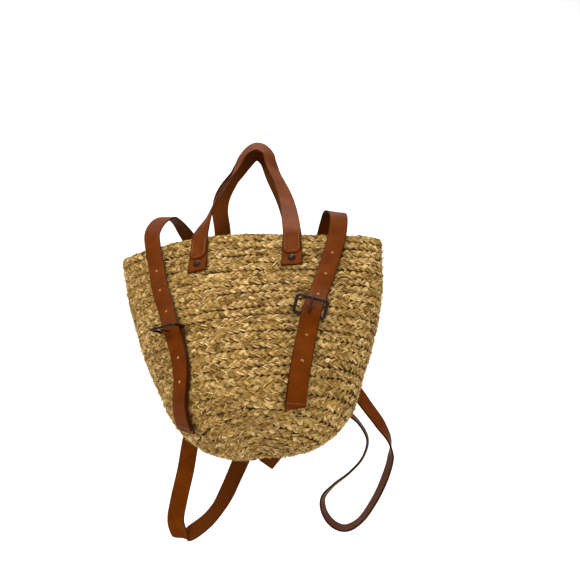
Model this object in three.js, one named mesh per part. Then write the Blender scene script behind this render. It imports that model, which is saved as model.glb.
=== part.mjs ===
// Woven straw backpack: a round bag of coiled straw braid with leather handles, buckled belts and
// shoulder straps. It hangs empty by both handles. Millimetres, +Z up, the front of the bag faces -Y,
// +X is to the right. The origin is the point that the handles hang on.

import * as THREE from 'three';

// Basket sizes
const MOUTH_WIDTH = 358;
const MOUTH_DEPTH = 90;
const BASE_WIDTH = 230;
const BASE_DEPTH = 188;
const WALL_HEIGHT = 227;
const BASE_SAG = 52;
const BASE_ASIDE = 6;
const BASE_LEAN = 5;
const BRAID_THICKNESS = 7;
const ROW_PITCH = 11.2;
const ROW_GROOVE = 1.8;
const EDGE_ROUNDING = 14;
const SIDE_DROOP = 5;
// How flat the base stays before it sags: little along its fold, from front to back, and long at its
// two sides
const FOLD_POWER = 1.25;
const SIDE_POWER = 3.3;

// How the bag hangs: its mouth's centre from the hanging point, and its turns in degrees
const MOUTH_ASIDE = -12;
const MOUTH_FORWARD = 55;
const MOUTH_BELOW = 145;
const HANG_TILT = 15;
const HANG_ROLL = 4;
const HANG_YAW = -15;
const MOUTH_SKEW = 6;
// The mouth's left end is stretched, from this height up in wall heights
const LEFT_FLARE = 8;
const FLARE_FROM = 0.55;

// Leather
const STRAP_WIDTH = 23;
const STRAP_THICKNESS = 2.4;
const LAYER_GAP = 0.5;
const FRONT_HANDLE_SPREAD = 124;
const REAR_HANDLE_SPREAD = 108;
const FRONT_HANDLE_ASIDE = 7;
const REAR_HANDLE_ASIDE = -3;
const HANDLE_TAB = 53;
const BELT_SPREAD = 0.693 * MOUTH_WIDTH;
const BELT_RISE = 44;
const UPPER_ANCHOR_SPREAD = 170;
const UPPER_ANCHOR_DROP = 42;
const LOWER_ANCHOR_SPREAD = 100;
const LOWER_ANCHOR_HEIGHT = 24;
const RIVET_HEAD = 10;
const RIVET_HEIGHT = 3;
// Rivets' places: down from the rim in handle tabs and in upper anchor drops, up from the base in lower
// anchor heights
const HANDLE_RIVET = 0.8;
const UPPER_RIVET = 0.65;
const LOWER_RIVET = 1.25;
const ON_FIRST_STRAP = STRAP_THICKNESS + 2 * LAYER_GAP;

// Buckles
const BUCKLE_WIDTH = 40;
const BUCKLE_LENGTH = 24;
const BUCKLE_WIRE = 4;
const FRONT_BUCKLE_HEIGHT = 0.42 * WALL_HEIGHT;
const REAR_BUCKLE_HEIGHT = 0.565 * WALL_HEIGHT;
const BUCKLE_CORNER = 5;
const BUCKLE_INNER_CORNER = 2;
const PRONG_WIDTH = 3;
const PRONG_HEIGHT = 2.2;
const REAR_BUCKLE_LIFT = 38;
// How far on either side of a heel bar a strap comes back down to the bag
const PASS_LENGTH = 14;

// Hanging loops of the shoulder straps
const LOOP_SPREAD = 0.948 * BASE_WIDTH;
const LOOP_LEFT_DROP = 107;
const LOOP_RIGHT_DROP = 92;

const SEGMENTS_ROUND = 40;
const STRAP_STEP = 9;
const DEG = Math.PI / 180;

// The wall's half width and half depth, as shares of the way from the base's to the mouth's
const WALL_PROFILE = [
  { height: 0.0, width: 0.0, depth: 0.0 },
  { height: 0.06, width: 0.07, depth: 0.04 },
  { height: 0.14, width: 0.18, depth: 0.09 },
  { height: 0.27, width: 0.4, depth: 0.2 },
  { height: 0.47, width: 0.67, depth: 0.41 },
  { height: 0.7, width: 0.88, depth: 0.72 },
  { height: 0.85, width: 0.94, depth: 0.9 },
  { height: 1.0, width: 1.0, depth: 1.0 },
];

// The rim's wave: the way to the right in half widths, and the rise in wall heights
const RIM_LINE = [
  { right: -1, rise: 0.02 },
  { right: -0.72, rise: 0.018 },
  { right: -0.45, rise: 0.025 },
  { right: -0.2, rise: 0.024 },
  { right: 0.1, rise: 0.012 },
  { right: 0.45, rise: -0.014 },
  { right: 0.75, rise: -0.016 },
  { right: 1, rise: 0.004 },
];

const leather = new THREE.MeshStandardMaterial({ color: 0x8a4513, roughness: 0.55, metalness: 0 });
const straw = new THREE.MeshStandardMaterial({ color: 0xc79a5b, roughness: 0.9, metalness: 0 });
const bronze = new THREE.MeshStandardMaterial({ color: 0x2c211c, roughness: 0.4, metalness: 0.9 });

const bag = new THREE.Group();
bag.position.set(MOUTH_ASIDE, -MOUTH_FORWARD, -MOUTH_BELOW);
bag.rotation.set(-HANG_TILT * DEG, -HANG_ROLL * DEG, HANG_YAW * DEG, 'YXZ');
bag.updateMatrixWorld();
const worldToBag = bag.matrixWorld.clone().invert();

const V = (x, y, z) => new THREE.Vector3(x, y, z);
const lerp = THREE.MathUtils.lerp;
const clamp01 = (x) => Math.min(1, Math.max(0, x));

function tableValue(table, key, column, at) {
  let i = 1;
  while (i < table.length - 1 && table[i][key] < at) i += 1;
  const a = table[i - 1];
  const b = table[i];
  const share = clamp01((at - a[key]) / (b[key] - a[key]));
  return lerp(a[column], b[column], share);
}

// A closed body through rings of points, from one end to the other; an end is a single point or a flat
// ring.
function loftBody(rings) {
  const points = [];
  const starts = rings.map((ring) => {
    const start = points.length;
    points.push(...ring);
    return start;
  });
  const faces = [];
  for (let i = 0; i < rings.length - 1; i += 1) {
    const n = Math.max(rings[i].length, rings[i + 1].length);
    const single = [rings[i].length === 1, rings[i + 1].length === 1];
    for (let j = 0; j < n; j += 1) {
      const k = (j + 1) % n;
      const a = starts[i] + (single[0] ? 0 : j);
      const b = starts[i] + (single[0] ? 0 : k);
      const c = starts[i + 1] + (single[1] ? 0 : k);
      const d = starts[i + 1] + (single[1] ? 0 : j);
      if (!single[0]) faces.push([a, b, c]);
      if (!single[1]) faces.push([a, c, d]);
    }
  }
  const capEnds = [[rings[0], starts[0], true], [rings.at(-1), starts.at(-1), false]];
  for (const [ring, start, first] of capEnds) {
    for (let j = 1; j < ring.length - 1; j += 1) {
      const tri = [start, start + j, start + j + 1];
      faces.push(first ? [tri[0], tri[2], tri[1]] : tri);
    }
  }
  const volume = faces.reduce((sum, [a, b, c]) => (
    sum + points[a].dot(points[b].clone().cross(points[c]))), 0);
  const geometry = new THREE.BufferGeometry();
  const flat = points.flatMap((p) => p.toArray());
  geometry.setAttribute('position', new THREE.Float32BufferAttribute(flat, 3));
  geometry.setIndex(faces.flatMap(([a, b, c]) => (volume > 0 ? [a, b, c] : [a, c, b])));
  geometry.computeVertexNormals();
  return geometry;
}

function addPiece(name, geometry, material) {
  const mesh = new THREE.Mesh(geometry, material.clone());
  mesh.name = name;
  bag.add(mesh);
  return mesh;
}

// Basket: the outer face by angle (front at -90 degrees) and by distance along the wall from the base's
// edge, negative on the base, whose middle is at -BASE_REACH
const BASE_REACH = BASE_WIDTH / 2;

function plainShell(angle, along) {
  const c = Math.cos(angle);
  const s = Math.sin(angle);
  if (along < 0) {
    const r = Math.max(0, 1 + along / BASE_REACH);
    const power = lerp(FOLD_POWER, SIDE_POWER, c * c);
    return V(BASE_ASIDE + c * r * BASE_WIDTH / 2, s * r * BASE_DEPTH / 2,
      -WALL_HEIGHT - BASE_SAG * (1 - r ** power) - BASE_LEAN * c * r);
  }
  const t = Math.min(1, along / WALL_HEIGHT);
  const width = lerp(BASE_WIDTH, MOUTH_WIDTH, tableValue(WALL_PROFILE, 'height', 'width', t)) / 2;
  const depth = lerp(BASE_DEPTH, MOUTH_DEPTH, tableValue(WALL_PROFILE, 'height', 'depth', t)) / 2;
  const droop = SIDE_DROOP * (1 - (1 - t) ** 3) * c * c;
  const skew = Math.tan(MOUTH_SKEW * DEG) * c * width * t;
  const rise = tableValue(RIM_LINE, 'right', 'rise', c) * WALL_HEIGHT * t * t;
  const lean = BASE_LEAN * c * (1 - t) ** 2;
  const flare = LEFT_FLARE * clamp01((t - FLARE_FROM) / (1 - FLARE_FROM)) * Math.min(0, c) * -c;
  const right = BASE_ASIDE * (1 - t) + c * width + flare;
  return V(right, s * depth, along - WALL_HEIGHT - droop - skew + rise - lean);
}

function shellPoint(angle, along) {
  if (along <= EDGE_ROUNDING - BASE_REACH) return plainShell(angle, along);
  const reach = Math.min(EDGE_ROUNDING, WALL_HEIGHT - along);
  const half = Math.min(EDGE_ROUNDING / 2, reach);
  const sum = plainShell(angle, along).multiplyScalar(2);
  sum.add(plainShell(angle, along - reach)).add(plainShell(angle, along + reach));
  sum.add(plainShell(angle, along - half)).add(plainShell(angle, along + half));
  return sum.multiplyScalar(1 / 6);
}

function shellNormal(angle, along) {
  const step = 0.5;
  const low = Math.max(along - step, 0.2 - BASE_REACH);
  const high = Math.min(along + step, WALL_HEIGHT);
  const up = shellPoint(angle, high).sub(shellPoint(angle, low));
  const round = shellPoint(angle + 0.01, (low + high) / 2).sub(shellPoint(angle - 0.01, (low + high) / 2));
  return round.cross(up).normalize();
}

function makeBasket() {
  const ring = (along, inward) => Array.from({ length: SEGMENTS_ROUND }, (_, j) => {
    const angle = (j / SEGMENTS_ROUND) * 2 * Math.PI;
    return shellPoint(angle, along).addScaledVector(shellNormal(angle, along), -inward);
  });
  const pole = shellPoint(0, -BASE_REACH);
  const wallRows = Math.round(WALL_HEIGHT / ROW_PITCH);
  const baseRows = Math.round(BASE_REACH / ROW_PITCH);
  const rings = [[pole]];
  for (let row = 1; row < 2 * baseRows; row += 1) {
    rings.push(ring((row / (2 * baseRows) - 1) * BASE_REACH, row % 2 ? 0 : ROW_GROOVE));
  }
  for (let row = 0; row < 2 * wallRows; row += 1) {
    rings.push(ring((row / (2 * wallRows)) * WALL_HEIGHT, row % 2 ? 0 : ROW_GROOVE));
  }
  const lip = ring(WALL_HEIGHT, BRAID_THICKNESS / 2).map((p) => p.add(V(0, 0, ROW_GROOVE)));
  rings.push(ring(WALL_HEIGHT, ROW_GROOVE / 2), lip, ring(WALL_HEIGHT, BRAID_THICKNESS - ROW_GROOVE / 2));
  const innerWall = 9;
  for (let i = innerWall - 1; i > 0; i -= 1) {
    rings.push(ring((i / innerWall) * WALL_HEIGHT, BRAID_THICKNESS));
  }
  const innerBase = 5;
  for (let i = innerBase; i > 0; i -= 1) {
    rings.push(ring((i / innerBase - 1) * BASE_REACH, BRAID_THICKNESS));
  }
  rings.push([pole.clone().add(V(0, 0, BRAID_THICKNESS))]);
  return loftBody(rings);
}

addPiece('basket', makeBasket(), straw);

// Straps: a station is a centre point and the way its outer face looks. One on the bag is given by its
// distance to the right of the middle, its height along the wall, and its lift off the straw
function stationOnBag(right, along, lift, rear = false) {
  const ends = [shellPoint(Math.PI, along).x, shellPoint(0, along).x];
  const share = THREE.MathUtils.clamp(THREE.MathUtils.mapLinear(right, ...ends, -1, 1), -1, 1);
  const angle = rear ? Math.acos(share) : -Math.acos(share);
  const face = shellNormal(angle, along);
  return { at: shellPoint(angle, along).addScaledVector(face, lift), face };
}

function freeStation(x, y, z, faceRight, faceBack, faceUp) {
  const at = V(x, y, z).applyMatrix4(worldToBag);
  const face = V(faceRight, faceBack, faceUp).transformDirection(worldToBag);
  return { at, face };
}

function makeStrap(stations) {
  const curve = new THREE.CatmullRomCurve3(stations.map((s) => s.at), false, 'centripetal');
  const last = stations.length - 1;
  const rings = [];
  for (let i = 0; i < last; i += 1) {
    const steps = Math.max(2, Math.round(stations[i].at.distanceTo(stations[i + 1].at) / STRAP_STEP));
    for (let j = 0; j < steps + (i === last - 1 ? 1 : 0); j += 1) {
      const mix = j / steps;
      const share = Math.min(1, (i + mix) / last);
      const centre = curve.getPoint(share);
      const tangent = curve.getTangent(share);
      const face = stations[i].face.clone().lerp(stations[i + 1].face, mix);
      face.addScaledVector(tangent, -face.dot(tangent)).normalize();
      const across = tangent.clone().cross(face).normalize();
      const wide = lerp(stations[i].wide ?? 1, stations[i + 1].wide ?? 1, mix);
      across.multiplyScalar(wide * STRAP_WIDTH / 2);
      face.multiplyScalar(STRAP_THICKNESS / 2);
      rings.push([[-1, -1], [1, -1], [1, 1], [-1, 1]].map(([w, t]) => (
        centre.clone().addScaledVector(across, w).addScaledVector(face, t))));
    }
  }
  return loftBody(rings);
}

const LAYER = STRAP_THICKNESS + LAYER_GAP;
const FIRST_LAYER = STRAP_THICKNESS / 2 + LAYER_GAP;
// Lifts off the straw of a strap that lies on another, of one that lies on a lap, and of one that comes
// down from a heel bar, gently and steeply
const ON_STRAP = FIRST_LAYER + 1.1 * LAYER;
const ON_LAP = FIRST_LAYER + 1.2 * LAYER;
const NEAR_HEEL = FIRST_LAYER + 1.7 * LAYER;
const STEEP_NEAR_HEEL = FIRST_LAYER + 2.2 * LAYER;

// Handles: columns give the way across in half spreads, forward in shares of the mouth's place before
// the hanging point, and the rise from the mouth's centre to that point, then the way the outer face
// looks
const FRONT_HANDLE = [
  { across: -1.04, forward: 1.09, rise: 0.34, right: -0.9, back: -0.35, up: 0.3 },
  { across: -0.85, forward: 0.73, rise: 0.58, right: -0.9, back: -0.2, up: 0.4 },
  { across: -0.56, forward: 0.4, rise: 0.82, right: -0.7, back: -0.25, up: 0.65 },
  { across: -0.34, forward: 0.26, rise: 1.04, right: -0.4, back: -0.5, up: 0.75 },
  { across: -0.07, forward: 0.22, rise: 1.12, right: 0, back: -0.75, up: 0.65 },
  { across: 0.17, forward: 0.24, rise: 1.06, right: 0.55, back: -0.7, up: 0.45 },
  { across: 0.27, forward: 0.36, rise: 0.9, right: 0.7, back: -0.7, up: 0.15 },
  { across: 0.46, forward: 0.64, rise: 0.7, right: 0.6, back: -0.8, up: 0 },
  { across: 0.63, forward: 1.0, rise: 0.47, right: 0.35, back: -0.9, up: 0.1 },
];
const REAR_HANDLE = [
  { across: -0.96, forward: 0.09, rise: 0.27, right: -0.1, back: 0.97, up: 0 },
  { across: -1.04, forward: 0.04, rise: 0.49, right: -0.1, back: 0.97, up: 0.1 },
  { across: -0.97, forward: 0, rise: 0.64, right: -0.4, back: 0.85, up: 0.2 },
  { across: -0.68, forward: -0.02, rise: 0.83, right: -0.75, back: 0.5, up: 0.4 },
  { across: -0.13, forward: -0.1, rise: 1.1, right: 0, back: 0.97, up: 0.1 },
  { across: 0.14, forward: -0.12, rise: 1.05, right: 0.3, back: 0.95, up: 0 },
  { across: 0.36, forward: -0.09, rise: 0.85, right: 0.3, back: 0.9, up: 0 },
  { across: 0.66, forward: 0.02, rise: 0.58, right: 0.3, back: 0.95, up: 0 },
  { across: 0.87, forward: 0.09, rise: 0.29, right: 0.1, back: 0.97, up: 0 },
];

// A handle's tab is wider than its strap: height in tab lengths, width in strap widths
const TAB_ROWS = [
  { share: 0, wide: 1.14 },
  { share: 0.4, wide: 1.12 },
  { share: 0.75, wide: 1.03 },
  { share: 1, wide: 1 },
];

function makeHandle(rows, spread, aside, rear) {
  const tab = (way) => TAB_ROWS.map(({ share, wide }) => {
    const along = WALL_HEIGHT - HANDLE_TAB * (1 - share);
    return { ...stationOnBag(way * spread / 2 + aside, along, FIRST_LAYER, rear), wide };
  });
  const free = rows.map((r) => freeStation(r.across * spread / 2, -r.forward * MOUTH_FORWARD,
    (r.rise - 1) * MOUTH_BELOW, r.right, r.back, r.up));
  return makeStrap([...tab(-1), ...free, ...tab(1).reverse()]);
}

const HANDLES = [
  {
    name: 'front',
    rows: FRONT_HANDLE,
    spread: FRONT_HANDLE_SPREAD,
    aside: FRONT_HANDLE_ASIDE,
    rear: false,
  },
  {
    name: 'rear',
    rows: REAR_HANDLE,
    spread: REAR_HANDLE_SPREAD,
    aside: REAR_HANDLE_ASIDE,
    rear: true,
  },
];
for (const { name, rows, spread, aside, rear } of HANDLES) {
  addPiece(`${name}_handle`, makeHandle(rows, spread, aside, rear), leather);
}

// Belts: over the mouth from the rear anchor, then down the front. Columns: the way from the rear rim
// to the front rim, the rise above the rims, the shift outwards in strap widths, then the way the outer
// face looks
const LEFT_BELT_OVER = [
  { forward: 0.14, rise: 0.42, out: 0, right: 0.1, back: 0.8, up: 0.5 },
  { forward: 0.4, rise: 0.92, out: -0.05, right: 0.15, back: 0.5, up: 0.85 },
  { forward: 0.62, rise: 1.27, out: 0.05, right: 0, back: -0.1, up: 1 },
  { forward: 0.8, rise: 1.08, out: 0.15, right: -0.2, back: -0.7, up: 0.6 },
  { forward: 0.97, rise: 0.5, out: 0.15, right: -0.2, back: -0.95, up: 0.15 },
];
const RIGHT_BELT_OVER = [
  { forward: 0.1, rise: 0.35, out: 0.1, right: 0, back: 0.9, up: 0.3 },
  { forward: 0.4, rise: 0.8, out: 0.2, right: 0.1, back: 0.6, up: 0.7 },
  { forward: 0.65, rise: 0.95, out: 0.2, right: 0.3, back: -0.1, up: 1 },
  { forward: 0.9, rise: 0.65, out: 0.25, right: 0.1, back: -0.9, up: 0.35 },
];

// The belts' distance from the middle in half spreads, by height along the wall in wall heights
const BELT_LINE = [
  { height: -0.06, left: 0.555, right: 0.525 },
  { height: 0, left: 0.53, right: 0.565 },
  { height: 0.1, left: 0.495, right: 0.605 },
  { height: 0.22, left: 0.51, right: 0.65 },
  { height: 0.42, left: 0.605, right: 0.73 },
  { height: 0.7, left: 0.84, right: 0.88 },
  { height: 1, left: 1, right: 1.02 },
];

// Each side's front buckle: how far it stands away from the bag and is turned round on it in degrees, how
// far right of its belt it hangs, and the place of its prong's heel in the frame, along it and off it
const FRONT_BUCKLES = {
  left: { tip: 106, slant: -29, aside: 0, start: 8, rise: 0 },
  right: { tip: 26, slant: 0, aside: -2.5, start: 1.5, rise: 3.9 },
};
const REAR_PRONG = { start: 1.5, rise: 3.9 };

// How far each belt turns its face from the wall's to the front above its buckle, and how much that lifts
// it
const BELT_TURN = {
  left: { turn: 0.32, lift: 2.6 },
  right: { turn: 0.06, lift: 0.6 },
};

function beltRight(name, along) {
  const share = tableValue(BELT_LINE, 'height', name, along / WALL_HEIGHT);
  return (name === 'left' ? -1 : 1) * share * BELT_SPREAD / 2;
}

// The heel bar lies on the buckle strap with its square section tipped, and the belt passes over it
const HEEL_HALF = BUCKLE_WIRE * Math.SQRT1_2;
const HEEL_LIFT = ON_FIRST_STRAP + HEEL_HALF;
const OVER_HEEL = HEEL_LIFT + HEEL_HALF + LAYER_GAP + STRAP_THICKNESS / 2;

// Heights in shares of the front buckle's that a belt and the strap under it both pass; the last is the
// strap's
const BELT_FOOT_ROWS = {
  left: [0.72, 0.5, 0.28, 0.14, 0.04, -0.05, -0.12, -0.195, -0.235],
  right: [0.72, 0.5, 0.3, 0.17, 0.07, 0, -0.06, -0.125, -0.165],
};

const frontOfBag = V(0, -1, 0).transformDirection(worldToBag);

function makeBelt(name, way, rows) {
  const rear = [0, 0.5, 1].map((share) => stationOnBag(way * UPPER_ANCHOR_SPREAD / 2,
    WALL_HEIGHT - UPPER_ANCHOR_DROP * (1 - share), FIRST_LAYER, true));
  const rimRear = rear.at(-1).at;
  const rimFront = stationOnBag(beltRight(name, WALL_HEIGHT), WALL_HEIGHT, FIRST_LAYER + 1).at;
  const over = rows.map((r) => ({
    at: rimRear.clone().lerp(rimFront, r.forward)
      .add(V(way * r.out * STRAP_WIDTH, 0, r.rise * BELT_RISE)),
    face: V(r.right, r.back, r.up).transformDirection(worldToBag),
  }));
  const aboveBuckle = WALL_HEIGHT - FRONT_BUCKLE_HEIGHT;
  const upper = [0.95, 0.75, 0.5, 0.3].map((share) => {
    const along = FRONT_BUCKLE_HEIGHT + share * aboveBuckle;
    const station = stationOnBag(beltRight(name, along), along, FIRST_LAYER + BELT_TURN[name].lift);
    station.face.lerp(frontOfBag, BELT_TURN[name].turn);
    return station;
  });
  const lower = [
    { along: FRONT_BUCKLE_HEIGHT + PASS_LENGTH, lift: STEEP_NEAR_HEEL },
    { along: FRONT_BUCKLE_HEIGHT, lift: OVER_HEEL },
    { along: FRONT_BUCKLE_HEIGHT - PASS_LENGTH, lift: NEAR_HEEL },
    ...BELT_FOOT_ROWS[name].slice(0, -1).map((share) => (
      { along: share * FRONT_BUCKLE_HEIGHT, lift: ON_STRAP })),
  ].map((r) => stationOnBag(beltRight(name, r.along), r.along, r.lift));
  return makeStrap([...rear, ...over, ...upper, ...lower]);
}

function makeBuckleStrap(name) {
  return makeStrap([1.01, 0.87, ...BELT_FOOT_ROWS[name]].map((share) => {
    const along = share * FRONT_BUCKLE_HEIGHT;
    return stationOnBag(beltRight(name, along), along, FIRST_LAYER);
  }));
}

// A frame on the bag at a place on it: across, up along the wall, and out. It leans to the right by the
// lean as it goes up, is turned round on the wall by the slant, and is tipped so that its top stands
// away
function placeOnBag(mesh, { right, along, lift, rear = false, lean = 0, slant = 0, tip = 0 }) {
  const station = stationOnBag(right, along, lift, rear);
  const above = stationOnBag(right + lean, along + 1, lift, rear).at;
  const up = above.sub(station.at).normalize();
  const across = up.clone().cross(station.face).normalize();
  const out = across.clone().cross(up);
  mesh.position.copy(station.at);
  mesh.quaternion.setFromRotationMatrix(new THREE.Matrix4().makeBasis(across, up, out));
  mesh.rotateZ(slant * DEG);
  mesh.rotateX(tip * DEG);
}

// The buckle lies in its own XY plane, with the middle of its heel bar at the origin and its tip
// towards +Y
function makeBuckle() {
  const outline = (x, low, high, r) => new THREE.Shape()
    .moveTo(x - r, low).absarc(x - r, low + r, r, -Math.PI / 2, 0)
    .absarc(x - r, high - r, r, 0, Math.PI / 2)
    .absarc(r - x, high - r, r, Math.PI / 2, Math.PI)
    .absarc(r - x, low + r, r, Math.PI, 1.5 * Math.PI);
  const half = BUCKLE_WIRE / 2;
  const frame = outline(BUCKLE_WIDTH / 2, -half, BUCKLE_LENGTH - half, BUCKLE_CORNER);
  const inside = BUCKLE_WIDTH / 2 - BUCKLE_WIRE;
  frame.holes.push(outline(inside, half, BUCKLE_LENGTH - half - BUCKLE_WIRE, BUCKLE_INNER_CORNER));
  const depth = BUCKLE_WIRE;
  const geometry = new THREE.ExtrudeGeometry(frame, { depth, bevelEnabled: false, curveSegments: 3 });
  return geometry.translate(0, 0, -half);
}

function makeProng({ start, rise }) {
  const tip = BUCKLE_LENGTH - BUCKLE_WIRE / 4;
  const low = BUCKLE_WIRE / 2 + LAYER_GAP;
  const under = [[start, low + rise], [tip, low]];
  const upper = [[tip, low + PRONG_HEIGHT], [start, low + rise + PRONG_HEIGHT]];
  const side = new THREE.Shape([...under, ...upper].map(([y, z]) => new THREE.Vector2(y, z)));
  const geometry = new THREE.ExtrudeGeometry(side, { depth: PRONG_WIDTH, bevelEnabled: false });
  geometry.translate(0, 0, -PRONG_WIDTH / 2);
  return geometry.applyMatrix4(new THREE.Matrix4().makeBasis(V(0, 1, 0), V(0, 0, 1), V(1, 0, 0)));
}

function makeRivet() {
  const r = RIVET_HEAD / 2;
  const dome = [[r, RIVET_HEIGHT * 0.25], [r * 0.75, RIVET_HEIGHT * 0.75], [0, RIVET_HEIGHT]];
  const profile = [[0, 0], [r, 0], ...dome];
  const geometry = new THREE.LatheGeometry(profile.map(([x, y]) => new THREE.Vector2(x, y)), 10);
  return geometry.rotateX(Math.PI / 2);
}

const SIDES = [
  { name: 'left', way: -1, over: LEFT_BELT_OVER },
  { name: 'right', way: 1, over: RIGHT_BELT_OVER },
];
for (const { name, way, over } of SIDES) {
  addPiece(`${name}_belt`, makeBelt(name, way, over), leather);
  addPiece(`${name}_buckle_strap`, makeBuckleStrap(name), leather);
  const { tip, slant, aside, ...prong } = FRONT_BUCKLES[name];
  const right = beltRight(name, FRONT_BUCKLE_HEIGHT);
  const lean = beltRight(name, FRONT_BUCKLE_HEIGHT + 1) - right;
  const heel = { right: right + aside, along: FRONT_BUCKLE_HEIGHT, lift: HEEL_LIFT, lean, slant, tip };
  placeOnBag(addPiece(`${name}_buckle`, makeBuckle(), bronze), heel);
  placeOnBag(addPiece(`${name}_buckle_prong`, makeProng(prong), bronze), heel);
  for (const handle of HANDLES) {
    placeOnBag(addPiece(`${handle.name}_handle_${name}_rivet`, makeRivet(), bronze), {
      right: way * handle.spread / 2 + handle.aside,
      along: WALL_HEIGHT - HANDLE_TAB * HANDLE_RIVET,
      lift: ON_FIRST_STRAP,
      rear: handle.rear,
    });
  }
}

// Shoulder straps behind the bag. Each starts at a lower anchor near the base, hangs in a loop below
// the bag and comes back up to a rear buckle. Columns: out from the base's middle in half loop spreads,
// drop below the base in loop drops, back from the hanging point in shares of the mouth's place before
// it, then the way the outer face looks: to the right, to the rear and up
const baseMiddle = V(0, 0, -WALL_HEIGHT - BASE_SAG).applyMatrix4(bag.matrixWorld);
const LEFT_LOOP = [
  { out: -0.16, drop: -0.16, back: -0.1, right: 0.1, rear: 1, up: 0.1 },
  { out: -0.26, drop: 0.05, back: 0.02, right: 0.2, rear: 0.95, up: 0.1 },
  { out: -0.36, drop: 0.28, back: 0.08, right: 0.35, rear: 0.85, up: 0 },
  { out: -0.445, drop: 0.47, back: 0.11, right: 0.35, rear: 0.85, up: -0.1 },
  { out: -0.54, drop: 0.64, back: 0.13, right: 0.55, rear: 0.85, up: -0.4 },
  { out: -0.67, drop: 0.8, back: 0.14, right: 0.5, rear: 0.9, up: -0.5 },
  { out: -0.85, drop: 0.94, back: 0.13, right: 0.3, rear: 0.9, up: -0.5 },
  { out: -0.96, drop: 1.01, back: 0.05, right: -0.1, rear: 0.1, up: -1 },
  { out: -1.0, drop: 0.95, back: -0.03, right: -0.2, rear: -0.9, up: -0.2 },
  { out: -1.05, drop: 0.8, back: -0.04, right: -0.1, rear: -1, up: 0 },
  { out: -1.02, drop: 0.55, back: -0.03, right: 0, rear: -1, up: 0 },
  { out: -0.95, drop: 0.2, back: 0, right: 0, rear: -1, up: 0 },
  { out: -0.89, drop: -0.2, back: 0.02, right: 0, rear: -1, up: 0 },
];
const RIGHT_LOOP = [
  { out: 0.8, drop: -0.62, back: -0.35, right: -0.4, rear: 0.6, up: -0.6 },
  { out: 1.0, drop: -0.62, back: -0.28, right: -0.5, rear: 0.35, up: -0.8 },
  { out: 1.17, drop: -0.47, back: -0.26, right: -0.8, rear: 0.2, up: -0.5 },
  { out: 1.28, drop: -0.22, back: -0.26, right: -1, rear: 0.18, up: 0 },
  { out: 1.22, drop: 0.03, back: -0.26, right: -0.85, rear: 0.16, up: 0.5 },
  { out: 1.06, drop: 0.24, back: -0.26, right: -0.65, rear: 0.16, up: 0.75 },
  { out: 0.85, drop: 0.43, back: -0.26, right: -0.7, rear: 0.2, up: 0.7 },
  { out: 0.73, drop: 0.6, back: -0.26, right: -0.95, rear: 0.28, up: 0.2 },
  { out: 0.75, drop: 0.8, back: -0.26, right: -0.85, rear: 0.3, up: -0.4 },
  { out: 0.86, drop: 0.96, back: -0.26, right: -0.45, rear: 0.3, up: -0.85 },
  { out: 1.0, drop: 1.01, back: -0.26, right: 0.1, rear: 0.22, up: -0.95 },
  { out: 1.16, drop: 0.92, back: -0.26, right: 0.6, rear: 0.15, up: -0.7 },
  { out: 1.34, drop: 0.65, back: -0.26, right: 0.85, rear: 0.2, up: -0.5 },
  { out: 1.49, drop: 0.3, back: -0.26, right: 0.95, rear: 0.25, up: -0.25 },
  { out: 1.56, drop: 0.02, back: -0.26, right: 1, rear: 0.2, up: 0 },
  { out: 1.55, drop: -0.2, back: -0.27, right: 0.9, rear: -0.3, up: 0.25 },
  { out: 1.44, drop: -0.44, back: -0.28, right: 0.6, rear: -0.65, up: 0.4 },
  { out: 1.22, drop: -0.8, back: -0.32, right: 0.5, rear: -0.75, up: 0.4 },
  { out: 1.02, drop: -1.19, back: -0.5, right: 0.4, rear: -0.2, up: 0.2 },
];
// The right strap's free end droops beyond its buckle. Columns: right in half anchor spreads, height in
// rear buckle heights, lift in strap widths
const RIGHT_TAIL = [
  { right: 0.96, height: 1.22, lift: 0.45 },
  { right: 0.82, height: 1.3, lift: 0.75 },
  { right: 0.66, height: 1.16, lift: 0.8 },
  { right: 0.52, height: 0.75, lift: 0.5 },
  { right: 0.38, height: 0.35, lift: 0.3 },
  { right: 0.22, height: 0.08, lift: 0.3 },
];
const TAIL_TIP = { out: 0.04, drop: 0.13, back: -0.4, right: -0.3, rear: 0.9, up: 0.1 };

// How a shoulder strap passes its rear buckle, and how a tail lies beyond it. Columns: above the heel
// bar in pass lengths, and the lift off the straw
const THROUGH = [
  { above: -2.4, lift: FIRST_LAYER + LAYER },
  { above: -1, lift: FIRST_LAYER + LAYER },
  { above: 0, lift: OVER_HEEL },
  { above: 1, lift: NEAR_HEEL },
];
const LYING = [
  { above: 1.7, lift: ON_LAP },
  { above: 2.4, lift: ON_LAP },
];

function loopStations(rows, dropSize) {
  return rows.map((r) => freeStation(baseMiddle.x + r.out * LOOP_SPREAD / 2, r.back * MOUTH_FORWARD,
    baseMiddle.z - r.drop * dropSize, r.right, r.rear, r.up));
}

const TURNED_DOWN = { slant: 180, tip: REAR_BUCKLE_LIFT };

function makeRearStrap(way) {
  const lapEnd = WALL_HEIGHT - UPPER_ANCHOR_DROP;
  return makeStrap([
    { along: WALL_HEIGHT - UPPER_ANCHOR_DROP * 0.3, lift: FIRST_LAYER + LAYER },
    { along: lapEnd - 3, lift: FIRST_LAYER + LAYER },
    { along: lapEnd - 20, lift: FIRST_LAYER },
    { along: REAR_BUCKLE_HEIGHT + PASS_LENGTH, lift: FIRST_LAYER },
    { along: REAR_BUCKLE_HEIGHT - 1, lift: FIRST_LAYER },
  ].map((r) => stationOnBag(way * UPPER_ANCHOR_SPREAD / 2, r.along, r.lift, true)));
}

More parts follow.
